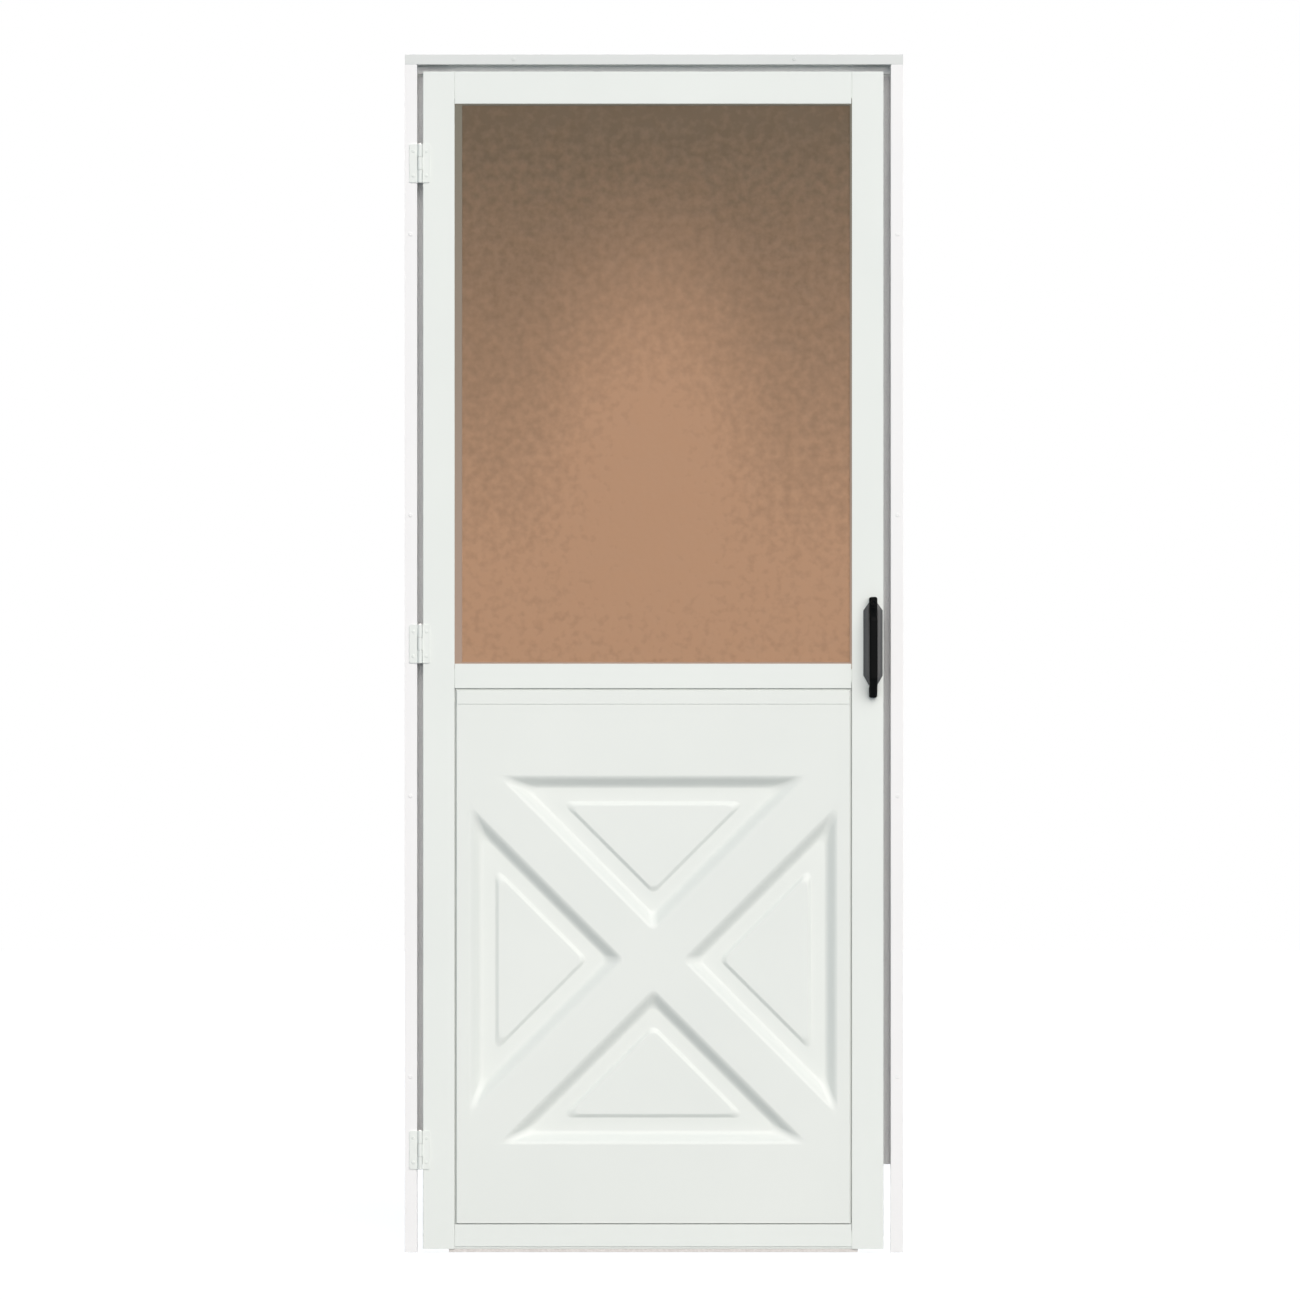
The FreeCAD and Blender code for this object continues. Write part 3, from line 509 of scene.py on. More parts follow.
# %% [markdown]
# ## Rounding and finishing a piece
# No edge of a real bar is knife sharp. A Bevel modifier would round all edges of a piece
# alike, so each piece picks the edges that catch the light. A finished piece then gets smooth
# shading that stops at sharp edges, its paint, the body that it moves with, and the solid
# that it takes the place of.

# %% Finished pieces
SHARP = math.radians(40)


def soften(bm, edges, radius, segments):
    bmesh.ops.bevel(bm, geom=edges, offset=radius, segments=segments, profile=0.5,
                    affect="EDGES", material=-1, clamp_overlap=True)


def make_piece(name, bm, finish, body, slot, *nodes):
    bmesh.ops.recalc_face_normals(bm, faces=bm.faces[:])
    mesh = bpy.data.meshes.new(name)
    bm.to_mesh(mesh)
    bm.free()
    mesh.materials.append(finish)
    mesh.shade_smooth()
    mesh.set_sharp_from_angle(angle=SHARP)
    piece = bpy.data.objects.new(name, mesh)
    scene.collection.objects.link(piece)
    evened = piece.modifiers.new("even_normals", "WEIGHTED_NORMAL")
    evened.keep_sharp = True
    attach(piece, body)
    if nodes:
        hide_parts(*nodes)
    print(name, len(mesh.polygons), "faces")


print("shading turns sharp above", round(math.degrees(SHARP)), "degrees")

# %% [markdown]
# ## Z-bars
# A Z-bar is one extrusion: a flange screwed to the casing, a web through the opening and a
# leg that stops the leaf. It could be three plates set edge to edge, but an extrusion has no
# seams. So flange and web are drawn as one L outline. The leg starts well above the foot,
# level with the lowest hinge: the web is cut there, and the strip above the cut is pushed out
# to make the leg.

# %% Jambs
BAR_WALL = 1.6 * MM
BAR_ROUND = 0.5 * MM


def jamb(name, pile, inward):
    low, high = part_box(name)
    pile_low, pile_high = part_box(pile)
    outer, tip, web = low.x, high.x, pile_low.x
    if inward < 0:
        outer, tip, web = high.x, low.x, pile_high.x
    web_back = web - inward * BAR_WALL
    outline = [(outer, low.y), (web, low.y), (web, high.y),
               (web_back, high.y), (web_back, 0), (outer, 0)]
    bm = prism([(x, y, low.z) for x, y in outline], (0, 0, high.z - low.z))
    leg_front = high.y - BAR_WALL
    cut(bm, 1, leg_front)
    cut(bm, 2, pile_low.z)
    cut(bm, 2, pile_high.z)
    leg = faces_on(bm, 0, web, lambda spot: spot.y > leg_front
                   and pile_low.z < spot.z < pile_high.z)
    push(bm, leg, (tip - web, 0, 0))
    soften(bm, ridges(bm, runs_along(2)), BAR_ROUND, 2)
    make_piece("white_" + name, bm, jamb_enamel, "frame", "white_paint", name)


jamb("hinge_jamb", "hinge_jamb_pile", 1)
jamb("latch_jamb", "latch_jamb_pile", -1)

# %% [markdown]
# ## Header
# The header is the same bar laid across the top. A jamb could be copied and turned, but the
# header's flange runs over both jambs, while web and leg stop between them. So the bar starts
# as the flange alone, the web is pushed out of the flange's back and the leg down out of the
# web.

# %% Header
head_low, head_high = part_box("header_bar")
head_pile_low, head_pile_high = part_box("header_pile")
web_level = head_pile_high.z
bm = block((head_low.x, head_low.y, web_level), (head_high.x, 0, head_high.z))
for place in (head_pile_low.x - BAR_WALL, head_pile_high.x + BAR_WALL):
    cut(bm, 0, place)
cut(bm, 2, web_level + BAR_WALL)
web = faces_on(bm, 1, 0.0, lambda spot: spot.z < web_level + BAR_WALL
               and head_pile_low.x - BAR_WALL < spot.x < head_pile_high.x + BAR_WALL)
push(bm, web, (0, head_high.y, 0))
for place in (head_pile_low.x, head_pile_high.x):
    cut(bm, 0, place)
cut(bm, 1, head_high.y - BAR_WALL)
leg = faces_on(bm, 2, web_level, lambda spot: spot.y > head_high.y - BAR_WALL
               and head_pile_low.x < spot.x < head_pile_high.x)
push(bm, leg, (0, 0, head_low.z - web_level))
soften(bm, ridges(bm, runs_along(0)), BAR_ROUND, 2)
make_piece("white_header_bar", bm, head_enamel_painted_shade, "frame", "white_paint", "header_bar")

# %% [markdown]
# ## Stiles
# A stile is a hollow tube with a lip on its inner front edge that holds pane and panel. A
# sleeve with a Solidify modifier would have thin walls too, but the lip has to grow out of
# one of them. So the tube is a block whose two ends are inset and opened, and the two
# openings are bridged, which makes the hollow. The lip is pushed out of the tube's side.

# %% Stiles
TUBE_WALL = 1.4 * MM
STILE_ROUND = 1.2 * MM
LIP_ROUND = 0.45 * MM
rail_low, rail_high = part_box("top_rail")


def hollow(bm, ends, wall):
    bmesh.ops.inset_region(bm, faces=ends, thickness=wall, use_even_offset=True)
    rims = list({rim for face in ends for rim in face.edges})
    bmesh.ops.delete(bm, geom=ends, context="FACES_ONLY")
    bmesh.ops.bridge_loops(bm, edges=rims)
    bmesh.ops.recalc_face_normals(bm, faces=bm.faces[:])


def stile(name, inward):
    low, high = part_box(name)
    edge, side, lip_tip = low.x, rail_low.x, high.x
    if inward < 0:
        edge, side, lip_tip = high.x, rail_high.x, low.x
    bm = block((edge, low.y, low.z), (side, high.y, high.z))
    ends = faces_on(bm, 2, low.z) + faces_on(bm, 2, high.z)
    hollow(bm, ends, TUBE_WALL)
    corners = ridges(bm, runs_along(2))
    outer = [item for item in corners if abs(item.verts[0].co.x - edge) < NEAR]
    soften(bm, outer, STILE_ROUND, 3)
    cut(bm, 1, low.y + TUBE_WALL)
    strip = faces_on(bm, 0, side, lambda spot: spot.y < low.y + TUBE_WALL)
    push(bm, strip, (lip_tip - side, 0, 0))
    rim = [item for item in ridges(bm, runs_along(2))
           if abs(item.verts[0].co.x - lip_tip) < NEAR]
    soften(bm, rim, LIP_ROUND, 2)
    make_piece("white_" + name, bm, upright_enamel, "leaf", "white_paint", name)


stile("hinge_stile", 1)
stile("latch_stile", -1)

# %% [markdown]
# ## Rails
# The rails run between the stiles. Their tubes reach the stiles' tubes, but their faces
# stop short at the stiles' lips with a hairline joint. A plain block would run into the lips.
# So a rail starts as the tube behind the lips, the middle of its front is pushed forward to
# make the face, and its own lips are pushed up or down out of that face.

# %% Rails
LIP = 10 * MM
HINGE_JOINT = 0.4 * MM
LATCH_JOINT = 1.1 * MM
face_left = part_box("hinge_stile")[1].x + HINGE_JOINT
face_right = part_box("latch_stile")[0].x - LATCH_JOINT


def rail(name, lip_under, lip_over):
    low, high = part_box(name)
    foot = low.z + (LIP if lip_under else 0)
    head = high.z - (LIP if lip_over else 0)
    behind = low.y + TUBE_WALL
    bm = block((low.x, behind, foot), (high.x, high.y, head))
    cut(bm, 0, face_left)
    cut(bm, 0, face_right)
    face = faces_on(bm, 1, behind, lambda spot: face_left < spot.x < face_right)
    push(bm, face, (0, -TUBE_WALL, 0))
    for wanted, level, way in ((lip_under, foot, -LIP), (lip_over, head, LIP)):
        if wanted:
            push(bm, faces_on(bm, 2, level, lambda spot: spot.y < behind), (0, 0, way))
    bmesh.ops.recalc_face_normals(bm, faces=bm.faces[:])
    soften(bm, ridges(bm, runs_along(0)), LIP_ROUND, 2)
    make_piece("white_" + name, bm, level_enamel, "leaf", "white_paint", name)


rail("top_rail", True, False)
rail("mid_rail", True, True)
rail("bottom_rail", False, True)

# %% [markdown]
# ## Soft walls
# Sheet that is drawn over a die has walls that start and end softly. A bevel would round the
# two edges of a wall but leave it straight between them. Here a face is inset in small steps,
# whose depths follow half a cosine wave. Every step hands back the short edges at its corners,
# so that the tips can be blunted later.

# %% Soft walls
def step_in(bm, faces, run, change):
    ring = bmesh.ops.inset_individual(bm, faces=faces, thickness=run, depth=change,
                                      use_even_offset=True)["faces"]
    around = set(ring)
    return [edge for face in ring for edge in face.edges
            if all(beside in around for beside in edge.link_faces)]


def slope(bm, faces, run, change, steps):
    heights = [change * (1 - math.cos(math.pi * step / steps)) / 2 for step in range(steps + 1)]
    corners = []
    for before, after in zip(heights, heights[1:]):
        corners += step_in(bm, faces, run / steps, after - before)
    return corners


print("walls can be drawn in steps")

# %% [markdown]
# ## Crossbuck
# The lower panel is sheet aluminium pressed into a crossbuck: four triangular recesses
# round an X, each with a raised field, deep on the outside and shallow on the inside. A
# displacement map would blur the straight edges. Instead planes cut the four triangles
# out of the flat face, and each triangle is stepped in. A bevel along the walls' corners,
# which slides on the steps, blunts the tips.

# %% Crossbuck
BUCK_SIDE = 23.5 * MM
BUCK_DROP = 6 * MM
BUCK_BAR = 66.6 * MM
BUCK_DEPTH = 14 * MM
BUCK_INSIDE = 6 * MM
WALL_RUN = 24 * MM
WALL_STEPS = 8
FIELD_INSET = 44.5 * MM
FIELD_RISE = 4.5 * MM
FIELD_RUN = 8.5 * MM
FIELD_STEPS = 4
TIP_ROUND = 9 * MM
TIP_STEPS = 5

panel_low, panel_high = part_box("kick_panel")
sight_low = Vector((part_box("hinge_stile")[1].x, panel_low.y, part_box("bottom_rail")[1].z))
sight_high = Vector((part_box("latch_stile")[0].x, panel_high.y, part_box("mid_rail")[0].z))
buck_middle = (sight_low + sight_high) / 2 - Vector((0, 0, BUCK_DROP))
buck_reach = (sight_high.x - sight_low.x) / 2 - BUCK_SIDE


def press_crossbuck(bm, plane, deep):
    for axis in (0, 2):
        for side in (-1, 1):
            cut(bm, axis, buck_middle[axis] + side * buck_reach, faces_on(bm, 1, plane))
    for lean in (-1, 1):
        for side in (-1, 1):
            normal = Vector((1, 0, lean)).normalized()
            point = buck_middle + normal * side * BUCK_BAR / 2
            square = faces_on(bm, 1, plane, lambda spot: max(
                abs(spot.x - buck_middle.x), abs(spot.z - buck_middle.z)) < buck_reach)
            cut_plane(bm, point, normal, square)
    outside = faces_on(bm, 1, plane, lambda spot: max(
        abs(spot.x - buck_middle.x), abs(spot.z - buck_middle.z)) > BUCK_BAR)
    triangles = [face for face in outside if len(face.verts) == 3]
    tips = slope(bm, triangles, WALL_RUN, -deep, WALL_STEPS)
    tips += step_in(bm, triangles, FIELD_INSET - WALL_RUN, 0.0)
    tips += slope(bm, triangles, FIELD_RUN, FIELD_RISE * deep / BUCK_DEPTH, FIELD_STEPS)
    bmesh.ops.bevel(bm, geom=list(dict.fromkeys(tips)), offset=TIP_ROUND, segments=TIP_STEPS,
                    profile=0.5, affect="EDGES", material=-1, loop_slide=True)
    return len(triangles)


print("crossbuck", round(2 * buck_reach, 4), "m square")

# %% [markdown]
# ## Pressed kick panel
# The panel's rim is thin and lies behind the lips, while its face stands forward between
# them. Two blocks could be joined, but a sheet is one piece: both sides of a block are inset
# and raised. The foot of the raised face is moved towards the bottom rail, where the joint is
# finer than round the other sides. Then both sides are pressed.

# %% Kick panel
PANEL_STEP = 5 * MM
PANEL_MARGIN = 4 * MM
FOOT_CLOSE = 2 * MM

rim_front, rim_back = panel_low.y + PANEL_STEP, panel_high.y - PANEL_STEP
bm = block((panel_low.x, rim_front, panel_low.z), (panel_high.x, rim_back, panel_high.z))
sides = faces_on(bm, 1, rim_front) + faces_on(bm, 1, rim_back)
step_in(bm, sides, LIP, 0.0)
step_in(bm, sides, PANEL_MARGIN, PANEL_STEP)
raised_foot = panel_low.z + LIP + PANEL_MARGIN
foot = [corner for corner in bm.verts if corner.co.y < panel_low.y + NEAR
        and abs(corner.co.z - raised_foot) < NEAR]
bmesh.ops.translate(bm, verts=foot, vec=(0, 0, -FOOT_CLOSE))
pressed = press_crossbuck(bm, panel_low.y, BUCK_DEPTH)
pressed += press_crossbuck(bm, panel_high.y, BUCK_INSIDE)
make_piece("pressed_kick_panel", bm, panel_enamel, "leaf", "panel_white", "kick_panel")
print("triangles pressed", pressed)

# %% [markdown]
# ## Bead over the panel
# A flat strip covers the head of the panel below the middle rail. It could be pressed into
# the panel, but its crisp foot speaks for a strip that lies on top. Its front edges are
# rolled, so a block with a bevel on the front is all it needs.

# %% Bead
BEAD_ROUND = 0.5 * MM
bead_low, bead_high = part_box("panel_bead")
bm = block(bead_low, bead_high)
front_rim = [edge for face in faces_on(bm, 1, bead_low.y) for edge in face.edges]
soften(bm, front_rim, BEAD_ROUND, 2)
make_piece("white_panel_bead", bm, panel_enamel, "leaf", "panel_white", "panel_bead")

# %% [markdown]
# ## Pane
# The tempered pane is a plain sheet with cut edges. It could be built again as a block, but
# its CAD solid already has that shape. So the solid stays in the picture and only gets the
# bronze finish.

# %% Pane
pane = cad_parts["storm_glass"]
pane.data.materials.clear()
pane.data.materials.append(bronze_glass)
print("pane finished", pane.name)

# %% [markdown]
# ## Glazing gasket
# A soft vinyl ring lies between the lips and the pane. It shows widest on the hinge side.
# Its colour is a painted reflection of the pane's tone: darker at the head, lighter at the
# foot. Four strips would do, but a gasket runs round in one piece: a thin block is made
# hollow like a stile's tube, and the sides of the hole are moved in. Its painted tone follows
# the height.

# %% Gasket
GASKET_BAND = 12 * MM
GASKET_HINGE, GASKET_LATCH = 10 * MM, 0.5 * MM
GASKET_ROUND = 0.4 * MM
GASKET_PAINTED_HEAD = (0.165, 0.155, 0.118)
GASKET_PAINTED_FOOT = (0.385, 0.275, 0.210)
GASKET_GRAIN, GASKET_DETAIL = 300.0, 3.0
GASKET_ROUGH = (0.60, 0.75)

gasket_vinyl, tree, vinyl = new_finish("gasket_vinyl")
height = add_node(tree, "SeparateXYZ", {"Vector": object_spot(tree)}).outputs["Z"]
# Painted reflection: the vinyl darkens towards the head, as the pane's painted tone does.
painted_slope = between(tree, height, 0.0, 1.0, pane_high.z, pane_low.z)
fill_sockets(tree, vinyl, {
    "Base Color": tones(tree, painted_slope, (0.0, GASKET_PAINTED_HEAD), (1.0, GASKET_PAINTED_FOOT)),
    "Roughness": between(tree, grain(tree, GASKET_GRAIN, GASKET_DETAIL), *GASKET_ROUGH),
})

gasket_low, gasket_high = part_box("glass_gasket")
bm = block(gasket_low, gasket_high)
hollow(bm, faces_on(bm, 1, gasket_low.y) + faces_on(bm, 1, gasket_high.y), GASKET_BAND)
for place, shift in ((gasket_low.x + GASKET_BAND, GASKET_HINGE),
                     (gasket_high.x - GASKET_BAND, -GASKET_LATCH)):
    shown = [corner for corner in bm.verts if abs(corner.co.x - place) < NEAR]
    bmesh.ops.translate(bm, verts=shown, vec=(shift, 0, 0))
rim = [edge for edge in ridges(bm) if edge.is_convex
       and all(abs(corner.co.y - gasket_low.y) < NEAR for corner in edge.verts)]
soften(bm, rim, GASKET_ROUND, 2)
make_piece("vinyl_glass_gasket", bm, gasket_vinyl, "leaf", "gasket_grey", "glass_gasket")

# %% [markdown]
# ## Snap-in retainers
# On the inside, extruded strips snap in behind the pane and against the rim of the panel.
# A plain bar would do from far away, but the real ones have a rounded nose and a finger
# groove. The groove could be pushed into the bar, but its ends would then be closed by
# skins without thickness. So it belongs to the outline that is drawn out, and the nose is a
# bevel.

# %% Retainers
NOSE = 2.0 * MM
GROOVE = 2.4 * MM
GROOVE_DEPTH = 0.9 * MM


def long_and_cross(low, high):
    along = 0 if high.x - low.x > high.z - low.z else 2
    return along, 2 - along


def notched(low, high, foot, face, wide, floor):
    middle = (low + high) / 2
    near, far = middle - wide / 2, middle + wide / 2
    return [(low, foot), (high, foot), (high, face), (far, face),
            (far, floor), (near, floor), (near, face), (low, face)]


def retainer(name):
    low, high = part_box(name)
    along, across = long_and_cross(low, high)
    middle = (low[across] + high[across]) / 2
    points = []
    floor = high.y - GROOVE_DEPTH
    for side, depth in notched(low[across], high[across], low.y, high.y, GROOVE, floor):
        point = low.copy()
        point[across], point.y = side, depth
        points.append(point)
    length = Vector((0, 0, 0))
    length[along] = high[along] - low[along]
    bm = prism(points, length)
    nose = [edge for edge in ridges(bm, runs_along(along))
            if edge.verts[0].co.y > high.y - NEAR
            and abs(edge.verts[0].co[across] - middle) > GROOVE]
    soften(bm, nose, NOSE, 4)
    finish = level_enamel if along == 0 else upright_enamel
    make_piece("white_" + name, bm, finish, "leaf", "white_paint", name)


for kind in ("glass", "panel"):
    for side in ("hinge", "latch", "bottom", "top"):
        retainer(f"{kind}_retainer_{side}")

# %% [markdown]
# ## Sweep
# An extruded holder under the bottom rail carries a vinyl strip that wipes the sill. The
# strip has two blades. They could be two thin blocks, but the real strip is one piece, so
# the gap between its blades is a notch in the outline that is drawn out.

# %% Sweep
HOLDER_ROUND = 0.6 * MM
BLADE_GAP = 2.0 * MM
BLADE_TALL = 4.0 * MM
holder_low, holder_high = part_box("sweep_holder")
bm = block(holder_low, holder_high)
soften(bm, ridges(bm, runs_along(0)), HOLDER_ROUND, 2)
make_piece("white_sweep_holder", bm, level_enamel, "leaf", "white_paint", "sweep_holder")
fin_low, fin_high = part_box("sweep_fin")
gap_top = fin_low.z + BLADE_TALL
section = notched(fin_low.y, fin_high.y, fin_high.z, fin_low.z, BLADE_GAP, gap_top)
bm = prism([(fin_low.x, y, z) for y, z in section], (fin_high.x - fin_low.x, 0, 0))
soften(bm, ridges(bm, runs_along(0)), LIP_ROUND, 2)
make_piece("vinyl_sweep_fin", bm, sweep_vinyl, "leaf", "sweep_grey", "sweep_fin")

# %% [markdown]
# ## Pile weatherstrip
# Woven pile stands on the front of the stop legs and the leaf closes against it. Hair
# would be far too heavy for a strip this long. A block is divided along its length, its
# front is crowned, and every point of the front is set back a little by chance, which
# leaves the ragged edge of cut pile.

# %% Weatherstrip
PILE_STEP = 4 * MM
PILE_ROWS = 4
PILE_CROWN = 2.4 * MM
CROWN_POWER = 4
PILE_RAGGED = 0.6 * MM
SEED = 7
chance = random.Random(SEED)


def weatherstrip(name, finish):
    low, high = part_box(name)
    along, across = long_and_cross(low, high)
    width = high[across] - low[across]
    bm = block(low, high)
    steps = round((high[along] - low[along]) / PILE_STEP)
    lengths = list(filter(runs_along(along), bm.edges))
    bmesh.ops.subdivide_edges(bm, edges=lengths, cuts=steps, use_grid_fill=True)
    rows = [edge for edge in bm.edges
            if all(corner.co.y < low.y + NEAR for corner in edge.verts)
            and abs(edge.verts[0].co[across] - edge.verts[1].co[across]) > width / 2]
    bmesh.ops.subdivide_edges(bm, edges=rows, cuts=PILE_ROWS, use_grid_fill=True)
    for corner in bm.verts:
        if corner.co.y < low.y + NEAR:
            off_middle = 2 * (corner.co[across] - low[across]) / width - 1
            corner.co.y += PILE_CROWN * off_middle ** CROWN_POWER + chance.uniform(0, PILE_RAGGED)
    make_piece(name.replace("pile", "weatherstrip"), bm, finish, "frame", "pile_grey", name)


weatherstrip("hinge_jamb_pile", pile_painted_light)
weatherstrip("latch_jamb_pile", pile_grey)
weatherstrip("header_pile", pile_white_painted_light)

# %% [markdown]
# ## Knuckles
# A knuckle is the part of a hinge that is rolled round the pin. A cylinder with a hole cut
# through it would do, but a ring is simpler to turn: a small outline beside the pin, with its
# two outer corners taken off, is spun round it. Pins, button and hub are turned the same way.

# %% Knuckles
KNUCKLE_RADIUS = 4.3 * MM
KNUCKLE_BORE = 2.55 * MM
KNUCKLE_EDGE = 0.4 * MM
LATHE_STEPS = 40


def lathe(points, centre, way, closed=False):
    bm = bmesh.new()
    corners = [bm.verts.new(point) for point in points]
    ends = corners[1:] + corners[:1] if closed else corners[1:]
    outline = [bm.edges.new(pair) for pair in zip(corners, ends)]
    bmesh.ops.spin(bm, geom=corners + outline, cent=centre, axis=way, angle=math.tau,
                   steps=LATHE_STEPS, use_merge=True)
    bmesh.ops.remove_doubles(bm, verts=bm.verts[:], dist=SAME)
    bmesh.ops.recalc_face_normals(bm, faces=bm.faces[:])
    return bm


def knuckle(pin, foot, head):
    ring = [(KNUCKLE_BORE, foot), (KNUCKLE_RADIUS - KNUCKLE_EDGE, foot),
            (KNUCKLE_RADIUS, foot + KNUCKLE_EDGE), (KNUCKLE_RADIUS, head - KNUCKLE_EDGE),
            (KNUCKLE_RADIUS - KNUCKLE_EDGE, head), (KNUCKLE_BORE, head)]
    points = [(pin.x + off, pin.y, level) for off, level in ring]
    return lathe(points, pin, (0, 0, 1), closed=True)


print("knuckle", 2 * KNUCKLE_RADIUS, "m across")

# %% [markdown]
# ## Hinge plates
# Each hinge has a plate on the jamb with two knuckles and a plate on the leaf with one
# between them. The rings could just touch the plate, but the real plate runs into them. So
# its edge is cut at the knuckles and those parts are pushed towards the pin, until they end
# inside the rings.

# %% Hinge plates
HINGE_PLATE = 2 * MM
HINGE_ROUND = 3 * MM
HINGE_EDGE = 0.5 * MM
KNUCKLES = 3
KNUCKLE_ROOM = 4.8 * MM
KNUCKLE_ROOT = 3.2 * MM
KNUCKLE_PLAY = 0.5 * MM


def absorb(bm, other):
    shape = bpy.data.meshes.new("absorbed")
    other.to_mesh(shape)
    other.free()
    bm.from_mesh(shape)
    bpy.data.meshes.remove(shape)


def hinge_leaf(name, side, body, knuckles):
    low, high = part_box(f"{name}_leaf")
    pin_low, pin_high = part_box(name.rsplit("_", 1)[0] + "_pin")
    pin = (pin_low + pin_high) / 2
    far = low.x if side < 0 else high.x
    near = pin.x + side * KNUCKLE_ROOM
    bm = block((far, pin.y, low.z), (near, pin.y + HINGE_PLATE, high.z))
    far_corners = [edge for edge in ridges(bm, runs_along(1))
                   if abs(edge.verts[0].co.x - far) < NEAR]
    soften(bm, far_corners, HINGE_ROUND, 5)
    rim = [edge for edge in ridges(bm)
           if all(corner.co.y < pin.y + NEAR for corner in edge.verts)
           and any(abs(corner.co.x - near) > NEAR for corner in edge.verts)]
    soften(bm, rim, HINGE_EDGE, 2)
    length = (high.z - low.z - (KNUCKLES - 1) * KNUCKLE_PLAY) / KNUCKLES
    feet = [low.z + step * (length + KNUCKLE_PLAY) for step in knuckles]
    spans = [(foot, foot + length) for foot in feet]
    for level in {level for span in spans for level in span}:
        cut(bm, 2, level)
    roots = faces_on(bm, 0, near, lambda spot: any(foot < spot.z < head for foot, head in spans))
    push(bm, roots, (side * (KNUCKLE_ROOT - KNUCKLE_ROOM), 0, 0))
    for foot, head in spans:
        absorb(bm, knuckle(pin, foot, head))
    make_piece(f"white_{name}_leaf", bm, upright_enamel, body, "white_paint", f"{name}_leaf")


for level in ("lower", "middle", "upper"):
    hinge_leaf(f"{level}_hinge_jamb", -1, "frame", (0, 2))
    hinge_leaf(f"{level}_hinge_door", 1, "leaf", (1,))

# %% [markdown]
# ## Hinge pins
# A pin is turned steel with a low domed head and a pointed foot. A cylinder with a flat ball
# on it would come close, but the head has a collar. So half its outline is spun round the
# hinge's axis, as on a lathe.

# %% Hinge pins
PIN_RADIUS = 2.5 * MM
PIN_HEAD = 4.0 * MM
PIN_CAP = 2.0 * MM
PIN_POINT = 1.2 * MM
PIN_DOME = [(1.0, 0.0), (1.0, 0.3), (0.85, 0.75), (0.5, 0.95), (0, 1.0)]


def hinge_pin(name):
    low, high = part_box(name)
    pin = (low + high) / 2
    collar = high.z - PIN_CAP
    outline = [(0, low.z), (PIN_RADIUS - PIN_POINT, low.z),
               (PIN_RADIUS, low.z + PIN_POINT), (PIN_RADIUS, collar)]
    outline += [(wide * PIN_HEAD, collar + tall * PIN_CAP) for wide, tall in PIN_DOME]
    bm = lathe([(pin.x + off, pin.y, level) for off, level in outline], pin, (0, 0, 1))
    make_piece("steel_" + name, bm, plated_steel, "frame", "plated_steel", name)


for level in ("lower", "middle", "upper"):
    hinge_pin(f"{level}_hinge_pin")

# %% [markdown]
# ## Pull plate
# The plate behind the grip is a thin casting with tapered ends and a face that falls away
# to its rim. A bevel alone would leave most of the face flat. So its outline is drawn out to
# most of the thickness, and the face is inset and raised: light from one side picks out the
# slope.

# %% Pull plate
PLATE_RIM = 2.0 * MM
PLATE_SLOPE = 5.0 * MM
PLATE_ROUND = 0.6 * MM
PLATE_HALF = [(7.5, -64), (16.5, -48), (16.5, 63), (7.5, 76)]
HANDLE_FOOT = 64 * MM

plate_low, plate_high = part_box("pull_plate")
handle_x = (plate_low.x + plate_high.x) / 2
handle_z = plate_low.z + HANDLE_FOOT
outline = PLATE_HALF + [(-across, up) for across, up in reversed(PLATE_HALF)]
points = [(handle_x + across * MM, plate_high.y, handle_z + up * MM) for across, up in outline]
bm = prism(points, (0, -PLATE_RIM, 0))
rim_front = plate_high.y - PLATE_RIM
step_in(bm, faces_on(bm, 1, rim_front), PLATE_SLOPE, rim_front - plate_low.y)
bmesh.ops.recalc_face_normals(bm, faces=bm.faces[:])
proud = ridges(bm, lambda edge: all(corner.co.y < plate_high.y - NEAR for corner in edge.verts))
soften(bm, proud, PLATE_ROUND, 3)
make_piece("cast_pull_plate", bm, plate_painted_sheen, "leaf", "handle_black", "pull_plate")

# %% [markdown]
# ## Pull grip
# The grip is a bar that stands off the leaf, with a boss for the button at its head and a
# foot on the stile. A curve with a thickness could follow the bends, but boss and foot are
# stouter than the bar. Seen from the side it is one bent outline, so that outline is drawn
# across the grip's width. The bends are bevelled first, and the long edges after them, so
# that the rounding runs on through the bends.

# %% Pull grip
GRIP_SIDE = [(-4, 86), (-4, 54), (-12, 54), (-29, 40), (-29, -48), (-12, -66), (0, -66),
             (0, -86), (-12, -86), (-40, -56), (-40, 50), (-24, 67), (-24, 86)]
GRIP_BEND = 5.0 * MM
GRIP_ROUND = 3.6 * MM
GRIP_BAR = 25 * MM
GRIP_SEAT = 4.5 * MM

grip_low, grip_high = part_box("pull_grip")
points = [(grip_low.x, grip_high.y + off * MM, handle_z + up * MM) for off, up in GRIP_SIDE]
bm = prism(points, (grip_high.x - grip_low.x, 0, 0))


def crosses_grip(edge):
    return abs(edge.verts[0].co.x - edge.verts[1].co.x) > NEAR


bends = ridges(bm, lambda edge: crosses_grip(edge)
               and edge.verts[0].co.y < grip_high.y - GRIP_BAR)
soften(bm, bends, GRIP_BEND, 5)
sides = ridges(bm, lambda edge: not crosses_grip(edge)
               and min(corner.co.y for corner in edge.verts) < grip_high.y - GRIP_SEAT)
soften(bm, sides, GRIP_ROUND, 4)
make_piece("cast_pull_grip", bm, handle_black, "leaf", "handle_black", "pull_grip")

# %% [markdown]
# ## Thumb button
# The button slides in the boss and frees the latch. A short cylinder would do from far away,
# but the button's face is dished for the thumb. It is turned, so its outline is spun round the
# line that it moves along.

